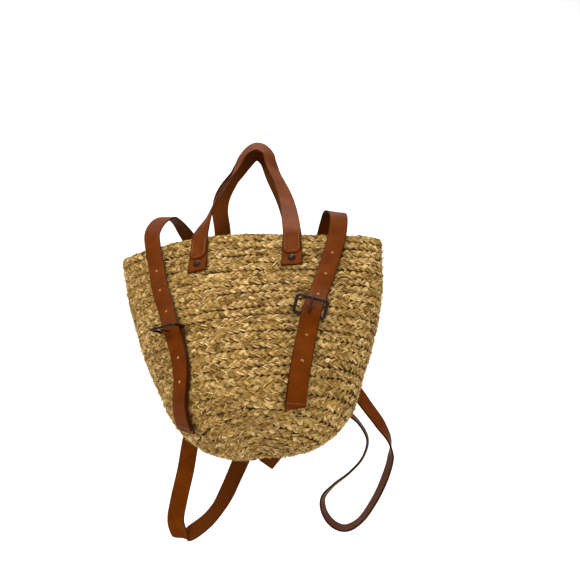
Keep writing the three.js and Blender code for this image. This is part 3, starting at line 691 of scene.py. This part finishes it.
def add_hole(batch, points, at, cells):
    """a hole through the front cell and the rear cell, each given by its corners' numbers"""
    rims = [hole_rim(points[cell], radius) for cell, radius in zip(cells, (HOLE_FRONT, HOLE_REAR))]
    quarter = HOLE_SIDES // 4
    for cell, rim, side in zip(cells, rims, (FRONT_FACE, REAR_FACE)):
        first = batch.add(rim, strap=np.tile((at, 0, side), (HOLE_SIDES, 1)), place=rim)
        fan = []
        for k in range(4):
            arc = [first + (quarter * k + m) % HOLE_SIDES for m in range(quarter + 1)]
            fan += [(b, a, cell[k]) for a, b in zip(arc, arc[1:])]
            fan.append((cell[(k + 1) % 4], arc[-1], cell[k]))
        batch.link(fan)
    wall = np.tile((at, 0, HOLE_WALL), (HOLE_SIDES, 1))
    front, rear = [batch.add(rim, strap=wall, place=rim) for rim in rims]
    a = np.arange(HOLE_SIDES)
    b = (a + 1) % HOLE_SIDES
    # The rear rim runs the other way round, a quarter further on
    rear_a, rear_b = (quarter - a) % HOLE_SIDES, (quarter - b) % HOLE_SIDES
    batch.link(np.stack((front + a, front + b, rear + rear_b, rear + rear_a), 1))


def add_cap(batch, points, loop):
    """closes a strap's end, whose points have the numbers in the loop"""
    core = points[loop].mean(0)[None]
    middle = batch.add(core, strap=np.zeros((1, 3)), place=core)
    batch.link([(a, b, middle) for a, b in zip(loop, np.roll(loop, -1))])


def make_strap(name, stations, *nodes, holes=(), thickness=STRAP_THICKNESS):
    """a leather strap; holes are distances along it, negative from its end"""
    line, face, tangent, length, wide = strap_line(stations)
    holes = [hole if hole >= 0 else length[-1] + hole for hole in holes]
    at = strap_rings(length[-1], holes)
    centre, out, way = (at_lengths(at, length, values) for values in (line, face, tangent))
    out, way = unit(out), unit(way)
    side = unit(np.cross(way, out))
    section_across, section_out, side_flag = strap_section(thickness)
    across = section_across * np.interp(at, length, wide)[:, None]
    outward = (section_out + curl(section_across))[:, None]
    points = (centre[:, None] + side[:, None] * across[..., None] + out[:, None] * outward).reshape(-1, 3)
    strap = np.stack(np.broadcast_arrays(at[:, None], section_across / (STRAP_WIDTH / 2), side_flag), -1)
    rings, sides = len(at), len(section_across)
    faces = tube_faces(rings, sides, False)
    keep = np.ones(len(faces), bool)
    cells = []
    # The front column with the holes, and the rear one, which comes after the front columns and an edge
    middle = len(COLUMNS) // 2 - 1
    columns = np.array((middle, len(COLUMNS) + len(EDGE_TURN) + middle))
    for hole in holes:
        first = int(np.argmin(abs(at - (hole - HOLE_CELL)))) * sides + columns
        keep[first] = False
        cells.append([np.array((a, a + 1, a + 1 + sides, a + sides)) for a in first])
    batch = Batch()
    batch.add(points, faces[keep], strap=strap.reshape(-1, 3), place=points)
    loop = np.arange(sides)
    add_cap(batch, points, loop[::-1])
    add_cap(batch, points, (rings - 1) * sides + loop)
    for hole, pair in zip(holes, cells):
        add_hole(batch, points, hole, pair)
    finish_piece(batch.make(name), LEATHER, "leather", *nodes)


STITCH_LENGTH = 2.5
STITCH_RADIUS = 0.4
STITCH_RINGS = 5
STITCH_SIDES = 6
STITCH_BOW = 0.3
STITCH_SINK = 0.08
SEAM_INSET = 3.5
SEAM_HALF = 8.6
seam_batch = Batch()


def seam(stations, places, thickness=STRAP_THICKNESS):
    """stitches on a strap's outer face; a place is the way along it, negative from its end, the way across
    it, and whether the stitch lies across"""
    line, face, tangent, length, _ = strap_line(stations)
    for along, across, crosswise in places:
        at = along if along >= 0 else length[-1] + along
        point, outward, way = (at_lengths(at, length, values) for values in (line, face, tangent))
        outward, way = unit(outward), unit(way)
        side = np.cross(way, outward)
        point = point + side * across + outward * (thickness / 2 + curl(across))
        if crosswise:
            way, side = side, -way
        share = np.linspace(-1, 1, STITCH_RINGS)[:, None]
        bow = STITCH_BOW * (1 - share ** 2) - STITCH_SINK
        centre = point + way * share * STITCH_LENGTH / 2 + outward * bow
        section = np.arange(STITCH_SIDES) / STITCH_SIDES * 2 * math.pi
        radius = STITCH_RADIUS * (1 - 0.35 * share ** 2)
        points = (centre[:, None] + side * (radius * np.cos(section))[..., None]
                  + outward * (radius * np.sin(section))[..., None]).reshape(-1, 3)
        seam_batch.add(points, tube_faces(STITCH_RINGS, STITCH_SIDES, False), place=points)


def cross_seam(along):
    return [(along, x, True) for x in np.linspace(-SEAM_HALF, SEAM_HALF, 6)]


# Handles: across, forward, rise, then the way the outer face looks

FRONT_HANDLE = (
    (-1.04, 1.09, 0.34, -0.9, -0.35, 0.3),
    (-0.85, 0.73, 0.58, -0.9, -0.2, 0.4),
    (-0.56, 0.4, 0.82, -0.7, -0.25, 0.65),
    (-0.34, 0.26, 1.04, -0.4, -0.5, 0.75),
    (-0.07, 0.22, 1.12, 0, -0.75, 0.65),
    (0.17, 0.24, 1.06, 0.55, -0.7, 0.45),
    (0.27, 0.36, 0.9, 0.7, -0.7, 0.15),
    (0.46, 0.64, 0.7, 0.6, -0.8, 0),
    (0.63, 1.0, 0.47, 0.35, -0.9, 0.1),
)
REAR_HANDLE = (
    (-0.96, 0.09, 0.27, -0.1, 0.97, 0),
    (-1.04, 0.04, 0.49, -0.1, 0.97, 0.1),
    (-0.97, 0, 0.64, -0.4, 0.85, 0.2),
    (-0.68, -0.02, 0.83, -0.75, 0.5, 0.4),
    (-0.13, -0.1, 1.1, 0, 0.97, 0.1),
    (0.14, -0.12, 1.05, 0.3, 0.95, 0),
    (0.36, -0.09, 0.85, 0.3, 0.9, 0),
    (0.66, 0.02, 0.58, 0.3, 0.95, 0),
    (0.87, 0.09, 0.29, 0.1, 0.97, 0),
)
# A tab's width in strap widths, by height in tab lengths
TAB_ROWS = ((0, 1.14), (0.4, 1.12), (0.75, 1.03), (1, 1))
# A handle's strap ends round on top of its tab: height in tab lengths, width in strap widths and lift
END_ROWS = (
    (0.33, 0.45, 1.75),
    (0.36, 0.72, 1.75),
    (0.42, 0.93, 1.7),
    (0.5, 1.0, 1.5),
    (0.72, 1.0, 1.1),
    (1, 0.97, 0.2),
)
END_THICKNESS = 1.8
HANDLES = (
    ("front", FRONT_HANDLE, FRONT_HANDLE_SPREAD, FRONT_HANDLE_ASIDE, False),
    ("rear", REAR_HANDLE, REAR_HANDLE_SPREAD, REAR_HANDLE_ASIDE, True),
)


def handle_stations(rows, spread, aside, rear):
    def tab(way):
        return [(*station_on_bag(way * spread / 2 + aside, WALL_HEIGHT - HANDLE_TAB * (1 - share),
                                 FIRST_LAYER, rear), wide) for share, wide in TAB_ROWS]
    free = [free_station(across * spread / 2, -forward * MOUTH_FORWARD, (rise - 1) * MOUTH_BELOW, *face)
            for across, forward, rise, *face in rows]
    return tab(-1) + free + tab(1)[::-1]


def make_handle_end(name, right, rear):
    stations = []
    for share, wide, lift in END_ROWS:
        along = WALL_HEIGHT - HANDLE_TAB * (1 - share)
        stations.append((*station_on_bag(right, along, FIRST_LAYER + lift, rear), wide))
    make_strap(name, stations, thickness=END_THICKNESS)
    sides = [(along, x, False) for along in np.arange(8, 31, 3.7) for x in (-SEAM_HALF, SEAM_HALF)]
    round_end = [(3.4, x, True) for x in (-3.4, 0, 3.4)]
    seam(stations, sides + round_end, END_THICKNESS)


for handle, _, spread, aside, rear in HANDLES:
    for name, way in SIDES:
        make_handle_end(f"{handle}_handle_{name}_end", way * spread / 2 + aside, rear)
for handle, rows, spread, aside, rear in HANDLES:
    make_strap(f"{handle}_handle_leather", handle_stations(rows, spread, aside, rear), f"{handle}_handle")

# Belts: forward, rise, out, then the way the outer face looks

BELT_OVER = {
    "left": (
        (0.14, 0.42, 0, 0.1, 0.8, 0.5),
        (0.4, 0.92, -0.05, 0.15, 0.5, 0.85),
        (0.62, 1.27, 0.05, 0, -0.1, 1),
        (0.8, 1.08, 0.15, -0.2, -0.7, 0.6),
        (0.97, 0.5, 0.15, -0.2, -0.95, 0.15),
    ),
    "right": (
        (0.1, 0.35, 0.1, 0, 0.9, 0.3),
        (0.4, 0.8, 0.2, 0.1, 0.6, 0.7),
        (0.65, 0.95, 0.2, 0.3, -0.1, 1),
        (0.9, 0.65, 0.25, 0.1, -0.9, 0.35),
    ),
}
BELT_LINE = {
    "height": (-0.06, 0, 0.1, 0.22, 0.42, 0.7, 1),
    "left": (0.555, 0.53, 0.495, 0.51, 0.605, 0.84, 1),
    "right": (0.525, 0.565, 0.605, 0.65, 0.73, 0.88, 1.02),
}
# Front buckles: tip and slant in degrees, aside, and the prong's heel along the frame and off it
FRONT_BUCKLES = {"left": (106, -29, 0, 8, 0), "right": (26, 0, -2.5, 1.5, 3.9)}
REAR_PRONG = (1.5, 3.9)
# How far each belt turns to the front above its buckle, and how much that lifts it
BELT_TURN = {"left": (0.32, 2.6), "right": (0.06, 0.6)}
# Heights in shares of the front buckle's that a belt and the strap under it both pass; the last is the
# strap's
BELT_FOOT_ROWS = {
    "left": (0.72, 0.5, 0.28, 0.14, 0.04, -0.05, -0.12, -0.195, -0.235),
    "right": (0.72, 0.5, 0.3, 0.17, 0.07, 0, -0.06, -0.125, -0.165),
}


def belt_right(name, along):
    share = np.interp(along / WALL_HEIGHT, BELT_LINE["height"], BELT_LINE[name])
    return (-1 if name == "left" else 1) * share * BELT_SPREAD / 2


def belt_stations(name):
    way = -1 if name == "left" else 1
    rear = [station_on_bag(way * UPPER_ANCHOR_SPREAD / 2, WALL_HEIGHT - UPPER_ANCHOR_DROP * (1 - share),
                           FIRST_LAYER, True) for share in (0, 0.5, 1)]
    rim_rear = rear[-1][0]
    rim_front = station_on_bag(belt_right(name, WALL_HEIGHT), WALL_HEIGHT, FIRST_LAYER + 1)[0]
    over = []
    for forward, rise, out, *face in BELT_OVER[name]:
        at = rim_rear + (rim_front - rim_rear) * forward
        at = at + np.array((way * out * STRAP_WIDTH, 0, rise * BELT_RISE))
        over.append((at, unit(np.array(face, float)) @ BAG_TURN))
    above = WALL_HEIGHT - FRONT_BUCKLE_HEIGHT
    turned, lift = BELT_TURN[name]
    front_of_bag = np.array((0, -1, 0)) @ BAG_TURN
    upper = []
    for share in (0.95, 0.75, 0.5, 0.3):
        along = FRONT_BUCKLE_HEIGHT + share * above
        at, face = station_on_bag(belt_right(name, along), along, FIRST_LAYER + lift)
        upper.append((at, face * (1 - turned) + front_of_bag * turned))
    rows = [(FRONT_BUCKLE_HEIGHT + PASS_LENGTH, STEEP_NEAR_HEEL), (FRONT_BUCKLE_HEIGHT, OVER_HEEL),
            (FRONT_BUCKLE_HEIGHT - PASS_LENGTH, NEAR_HEEL)]
    rows += [(share * FRONT_BUCKLE_HEIGHT, ON_STRAP) for share in BELT_FOOT_ROWS[name][:-1]]
    return rear + over + upper + [station_on_bag(belt_right(name, a), a, lift) for a, lift in rows]


def buckle_strap_stations(name):
    alongs = [share * FRONT_BUCKLE_HEIGHT for share in (1.01, 0.87) + BELT_FOOT_ROWS[name]]
    return [station_on_bag(belt_right(name, a), a, FIRST_LAYER) for a in alongs]


BELT_HOLES = {"left": (-59, -90, -165, -206, -240), "right": (-52, -84, -144, -177, -210)}
for name, _ in SIDES:
    stations = belt_stations(name)
    make_strap(f"{name}_belt_leather", stations, f"{name}_belt", holes=BELT_HOLES[name])
    seam(stations, cross_seam(-SEAM_INSET) + cross_seam(4) + cross_seam(34))
    make_strap(f"{name}_buckle_strap_leather", buckle_strap_stations(name), f"{name}_buckle_strap")

# Shoulder straps: out, drop, back, then the way the outer face looks

base_middle = to_world((0, 0, -WALL_HEIGHT - BASE_SAG))
LEFT_LOOP = (
    (-0.16, -0.16, -0.1, 0.1, 1, 0.1),
    (-0.26, 0.05, 0.02, 0.2, 0.95, 0.1),
    (-0.36, 0.28, 0.08, 0.35, 0.85, 0),
    (-0.445, 0.47, 0.11, 0.35, 0.85, -0.1),
    (-0.54, 0.64, 0.13, 0.55, 0.85, -0.4),
    (-0.67, 0.8, 0.14, 0.5, 0.9, -0.5),
    (-0.85, 0.94, 0.13, 0.3, 0.9, -0.5),
    (-0.96, 1.01, 0.05, -0.1, 0.1, -1),
    (-1.0, 0.95, -0.03, -0.2, -0.9, -0.2),
    (-1.05, 0.8, -0.04, -0.1, -1, 0),
    (-1.02, 0.55, -0.03, 0, -1, 0),
    (-0.95, 0.2, 0, 0, -1, 0),
    (-0.89, -0.2, 0.02, 0, -1, 0),
)
RIGHT_LOOP = (
    (0.8, -0.62, -0.35, -0.4, 0.6, -0.6),
    (1.0, -0.62, -0.28, -0.5, 0.35, -0.8),
    (1.17, -0.47, -0.26, -0.8, 0.2, -0.5),
    (1.28, -0.22, -0.26, -1, 0.18, 0),
    (1.22, 0.03, -0.26, -0.85, 0.16, 0.5),
    (1.06, 0.24, -0.26, -0.65, 0.16, 0.75),
    (0.85, 0.43, -0.26, -0.7, 0.2, 0.7),
    (0.73, 0.6, -0.26, -0.95, 0.28, 0.2),
    (0.75, 0.8, -0.26, -0.85, 0.3, -0.4),
    (0.86, 0.96, -0.26, -0.45, 0.3, -0.85),
    (1.0, 1.01, -0.26, 0.1, 0.22, -0.95),
    (1.16, 0.92, -0.26, 0.6, 0.15, -0.7),
    (1.34, 0.65, -0.26, 0.85, 0.2, -0.5),
    (1.49, 0.3, -0.26, 0.95, 0.25, -0.25),
    (1.56, 0.02, -0.26, 1, 0.2, 0),
    (1.55, -0.2, -0.27, 0.9, -0.3, 0.25),
    (1.44, -0.44, -0.28, 0.6, -0.65, 0.4),
    (1.22, -0.8, -0.32, 0.5, -0.75, 0.4),
    (1.02, -1.19, -0.5, 0.4, -0.2, 0.2),
)
# The right strap's free end: right in half anchor spreads, height in rear buckle heights, lift in strap
# widths
RIGHT_TAIL = (
    (0.96, 1.22, 0.45),
    (0.82, 1.3, 0.75),
    (0.66, 1.16, 0.8),
    (0.52, 0.75, 0.5),
    (0.38, 0.35, 0.3),
    (0.22, 0.08, 0.3),
)
TAIL_TIP = (0.04, 0.13, -0.4, -0.3, 0.9, 0.1)
# How a strap passes its rear buckle and lies beyond it: above the heel bar in pass lengths, and the lift
THROUGH = ((-2.4, FIRST_LAYER + LAYER), (-1, FIRST_LAYER + LAYER), (0, OVER_HEEL), (1, NEAR_HEEL))
LYING = ((1.7, ON_LAP), (2.4, ON_LAP))


def loop_stations(rows, drop_size):
    return [free_station(base_middle[0] + out * LOOP_SPREAD / 2, back * MOUTH_FORWARD,
                         base_middle[2] - drop * drop_size, *face)
            for out, drop, back, *face in rows]


def shoulder_stations(way, rows, drop_size, tail):
    lower_right, upper_right = way * LOWER_ANCHOR_SPREAD / 2, way * UPPER_ANCHOR_SPREAD / 2
    stations = [station_on_bag(lower_right, share * LOWER_ANCHOR_HEIGHT, lift, True)
                for share, lift in ((1.7, FIRST_LAYER), (1, FIRST_LAYER), (0.2, FIRST_LAYER + 1.6 * LAYER))]
    stations += loop_stations(rows, drop_size)
    stations += [station_on_bag(upper_right, REAR_BUCKLE_HEIGHT + above * PASS_LENGTH, lift, True)
                 for above, lift in THROUGH + (() if tail else LYING)]
    if tail:
        stations += [
            station_on_bag(right * upper_right, height * REAR_BUCKLE_HEIGHT, lift * STRAP_WIDTH, True)
            for right, height, lift in tail]
        stations += loop_stations([TAIL_TIP], drop_size)
    return stations


def rear_strap_stations(way):
    lap_end = WALL_HEIGHT - UPPER_ANCHOR_DROP
    return [station_on_bag(way * UPPER_ANCHOR_SPREAD / 2, along, lift, True) for along, lift in (
        (WALL_HEIGHT - UPPER_ANCHOR_DROP * 0.3, FIRST_LAYER + LAYER), (lap_end - 3, FIRST_LAYER + LAYER),
        (lap_end - 20, FIRST_LAYER), (REAR_BUCKLE_HEIGHT + PASS_LENGTH, FIRST_LAYER),
        (REAR_BUCKLE_HEIGHT - 1, FIRST_LAYER))]


left_stations = shoulder_stations(-1, LEFT_LOOP, LOOP_LEFT_DROP, ())
right_stations = shoulder_stations(1, RIGHT_LOOP, LOOP_RIGHT_DROP, RIGHT_TAIL)
make_strap("left_shoulder_strap_leather", left_stations, "left_shoulder_strap", holes=(220,))
make_strap("right_shoulder_strap_leather", right_stations, "right_shoulder_strap")
seam(left_stations, cross_seam(SEAM_INSET) + cross_seam(-SEAM_INSET))
seam(right_stations, cross_seam(SEAM_INSET))
for name, way in SIDES:
    stations = rear_strap_stations(way)
    seam(stations, cross_seam(SEAM_INSET))
    make_strap(f"{name}_rear_strap_leather", stations, f"{name}_rear_strap")

finish_piece(seam_batch.make("seams"), THREAD, "leather")


# Metal

def place_on_bag(right, along, lift, rear=False, lean=0.0, slant=0.0, tip=0.0):
    """a frame across, up along the wall and out, as a place and a turn in the bag"""
    at, face = station_on_bag(right, along, lift, rear)
    above = station_on_bag(right + lean, along + 1, lift, rear)[0]
    up = unit(above - at)
    across = unit(np.cross(up, face))
    out = np.cross(across, up)
    basis = np.column_stack((across, up, out))
    spin = Matrix.Rotation(math.radians(slant), 3, "Z") @ Matrix.Rotation(math.radians(tip), 3, "X")
    return at, basis @ np.array(spin)


def placed(points, place):
    at, turned = place
    return np.asarray(points) @ turned.T + at


WIRE_SIDES = 12
WIRE_FLATNESS = 0.82
CORNER_STEP = 15
PRONG_RINGS = 12
PRONG_SIDES = 8
PRONG_LIFT = 1.1
RIVET_SIDES = 28
RIVET_DOME = (15, 30, 45, 60, 75, 86)
RIVET_LIFT = STRAP_THICKNESS + LAYER_GAP
UPPER_RIVET_LIFT = FIRST_LAYER + LAYER + STRAP_THICKNESS / 2 + LAYER_GAP


def finish_metal(name, points, place, closed, node):
    """a bronze body whose points lie ring after ring; it runs back into itself or has flat ends"""
    rings, sides = points.shape[:2]
    points = placed(points.reshape(-1, 3), place)
    batch = Batch()
    batch.add(points, tube_faces(rings, sides, closed), place=points)
    if not closed:
        loop = np.arange(sides)
        for end in (loop[::-1], (rings - 1) * sides + loop):
            batch.link([(end[0], a, b) for a, b in zip(end[1:], end[2:])])
    finish_piece(batch.make(name), BRONZE, "bronze", node)


def make_buckle(name, place, node):
    half = BUCKLE_WIRE / 2
    corner = BUCKLE_CORNER - half
    x = BUCKLE_WIDTH / 2 - half - corner
    low, high = corner, BUCKLE_LENGTH - BUCKLE_WIRE - corner
    path = []
    for corner_x, corner_y, start in ((x, low, -90), (x, high, 0), (-x, high, 90), (-x, low, 180)):
        for a in np.radians(start + np.arange(0, 91, CORNER_STEP)):
            path.append((corner_x + corner * math.cos(a), corner_y + corner * math.sin(a), 0))
    # One more point halfway along each stretch
    path = np.vstack([np.linspace(a, b, 3)[:-1] for a, b in zip(path, path[1:] + path[:1])])
    way = unit(np.roll(path, -1, 0) - np.roll(path, 1, 0))
    up = np.array((0, 0, 1.0))
    across = np.cross(way, up)
    section = np.arange(WIRE_SIDES) / WIRE_SIDES * 2 * math.pi
    points = (path[:, None] + across[:, None] * (half * np.cos(section))[:, None]
              + up * (WIRE_FLATNESS * half * np.sin(section))[:, None])
    finish_metal(name, points, place, True, node)


def make_prong(name, place, node, start, rise):
    low = BUCKLE_WIRE / 2 + LAYER_GAP
    tip = BUCKLE_LENGTH - BUCKLE_WIRE / 4
    t = np.linspace(0, 1, PRONG_RINGS)
    up = low + rise * (1 - t) + PRONG_LIFT
    centre = np.stack((np.zeros(PRONG_RINGS), start + (tip - start) * t, up), 1)
    size = np.interp(t, (0, 0.03, 0.9, 1), (0.7, 1.1, 1.0, 0.55))
    a = np.arange(PRONG_SIDES) / PRONG_SIDES * 2 * math.pi
    section = np.stack((np.cos(a) * 1.3, np.zeros(PRONG_SIDES), np.sin(a)), 1)
    finish_metal(name, centre[:, None] + section * size[:, None, None], place, False, node)


def make_rivet(name, place, node):
    r, h = RIVET_HEAD / 2, RIVET_HEIGHT
    profile = [(0.96 * r, 0), (r, 0.12 * h), (0.97 * r, 0.26 * h), (0.84 * r, 0.3 * h), (0.8 * r, 0.42 * h)]
    profile += [(0.8 * r * math.cos(a), (0.42 + 0.56 * math.sin(a)) * h) for a in np.radians(RIVET_DOME)]
    across, up = np.array(profile).T[..., None]
    a = np.arange(RIVET_SIDES) / RIVET_SIDES * 2 * math.pi
    points = np.stack(np.broadcast_arrays(across * np.cos(a), across * np.sin(a), up), -1)
    finish_metal(name, points, place, False, node)


for name, way in SIDES:
    tip, slant, aside, *prong = FRONT_BUCKLES[name]
    right = belt_right(name, FRONT_BUCKLE_HEIGHT)
    lean = belt_right(name, FRONT_BUCKLE_HEIGHT + 1) - right
    heel = place_on_bag(right + aside, FRONT_BUCKLE_HEIGHT, HEEL_LIFT, False, lean, slant, tip)
    make_buckle(f"{name}_buckle_metal", heel, f"{name}_buckle")
    make_prong(f"{name}_buckle_prong_metal", heel, f"{name}_buckle_prong", *prong)
    upper_right = way * UPPER_ANCHOR_SPREAD / 2
    heel = place_on_bag(upper_right, REAR_BUCKLE_HEIGHT, HEEL_LIFT, True, 0, 180, REAR_BUCKLE_LIFT)
    make_buckle(f"{name}_rear_buckle_metal", heel, f"{name}_rear_buckle")
    make_prong(f"{name}_rear_prong_metal", heel, f"{name}_rear_prong", *REAR_PRONG)
    for handle, _, spread, aside, rear in HANDLES:
        along = WALL_HEIGHT - HANDLE_RIVET * HANDLE_TAB
        place = place_on_bag(way * spread / 2 + aside, along, RIVET_LIFT, rear)
        make_rivet(f"{handle}_handle_{name}_rivet_metal", place, f"{handle}_handle_{name}_rivet")
    place = place_on_bag(upper_right, WALL_HEIGHT - UPPER_RIVET * UPPER_ANCHOR_DROP, UPPER_RIVET_LIFT, True)
    make_rivet(f"{name}_upper_rivet_metal", place, f"{name}_upper_rivet")
    place = place_on_bag(way * LOWER_ANCHOR_SPREAD / 2, LOWER_RIVET * LOWER_ANCHOR_HEIGHT, RIVET_LIFT, True)
    make_rivet(f"{name}_lower_rivet_metal", place, f"{name}_lower_rivet")


# Stage, light and camera

FLOOR = -0.62
FLOOR_BEND = 0.9
FOCAL_PIXELS, PICTURE_PIXELS = 731, 580
SENSOR_WIDTH = 36


def make_stage():
    n = Nodes("stage")
    place = n.add("ShaderNodeTexCoord").outputs["Object"]
    soft = n.noise(place, 3.0, 2)
    colour = n.ramp(soft, (0.0, (0.86, 0.86, 0.855)), (1.0, (0.9, 0.9, 0.895)))
    material = n.surface(Base_Color=colour, Roughness=0.9)
    profile = [(-3.0, FLOOR), (FLOOR_BEND, FLOOR)]
    profile += [(FLOOR_BEND * (1 + math.sin(a)), FLOOR + FLOOR_BEND * (1 - math.cos(a)))
                for a in np.radians(range(9, 91, 9))]
    profile += [(2 * FLOOR_BEND, 3.0)]
    points = [(x, y, z) for y, z in profile for x in (-4.0, 4.0)]
    faces = [(2 * i, 2 * i + 1, 2 * i + 3, 2 * i + 2) for i in range(len(profile) - 1)]
    mesh = bpy.data.meshes.new("backdrop")
    mesh.from_pydata(points, [], faces)
    for polygon in mesh.polygons:
        polygon.use_smooth = True
    mesh.materials.append(material)
    made = bpy.data.objects.new("backdrop", mesh)
    bpy.context.scene.collection.objects.link(made)


def area_light(name, place, target, size, power, colour=(1, 1, 1)):
    data = bpy.data.lights.new(name, "AREA")
    data.shape = "DISK"
    data.size = size
    data.energy = power
    data.color = colour
    light = bpy.data.objects.new(name, data)
    light.location = place
    light.rotation_euler = (Vector(target) - Vector(place)).to_track_quat("-Z", "Y").to_euler()
    bpy.context.scene.collection.objects.link(light)


def make_light():
    middle = (0, -0.1, -0.25)
    area_light("key", (-0.7, -1.5, 0.9), middle, 1.0, 26, (1, 0.98, 0.95))
    area_light("fill", (1.3, -1.4, -0.1), middle, 1.4, 9, (0.97, 0.98, 1))
    area_light("top", (0.1, 0.1, 1.3), middle, 1.2, 7)
    area_light("backdrop_light", (0, 0.3, 1.2), (0, 1.6, -0.2), 1.6, 30)
    world = bpy.data.worlds.new("studio")
    world.use_nodes = True
    background = world.node_tree.nodes["Background"]
    background.inputs[0].default_value = (1, 1, 1, 1)
    background.inputs[1].default_value = 0.55
    bpy.context.scene.world = world


def make_camera():
    data = bpy.data.cameras.new("camera")
    data.sensor_width = SENSOR_WIDTH
    data.lens = SENSOR_WIDTH * FOCAL_PIXELS / PICTURE_PIXELS
    data.clip_start, data.clip_end = 0.05, 50
    camera = bpy.data.objects.new("camera", data)
    camera.location = (0.043297, -1.006643, -0.366547)
    camera.rotation_euler = (math.radians(100), 0, 0)
    bpy.context.scene.collection.objects.link(camera)
    bpy.context.scene.camera = camera


make_stage()
make_light()
make_camera()
bpy.context.scene.view_settings.view_transform = "Standard"
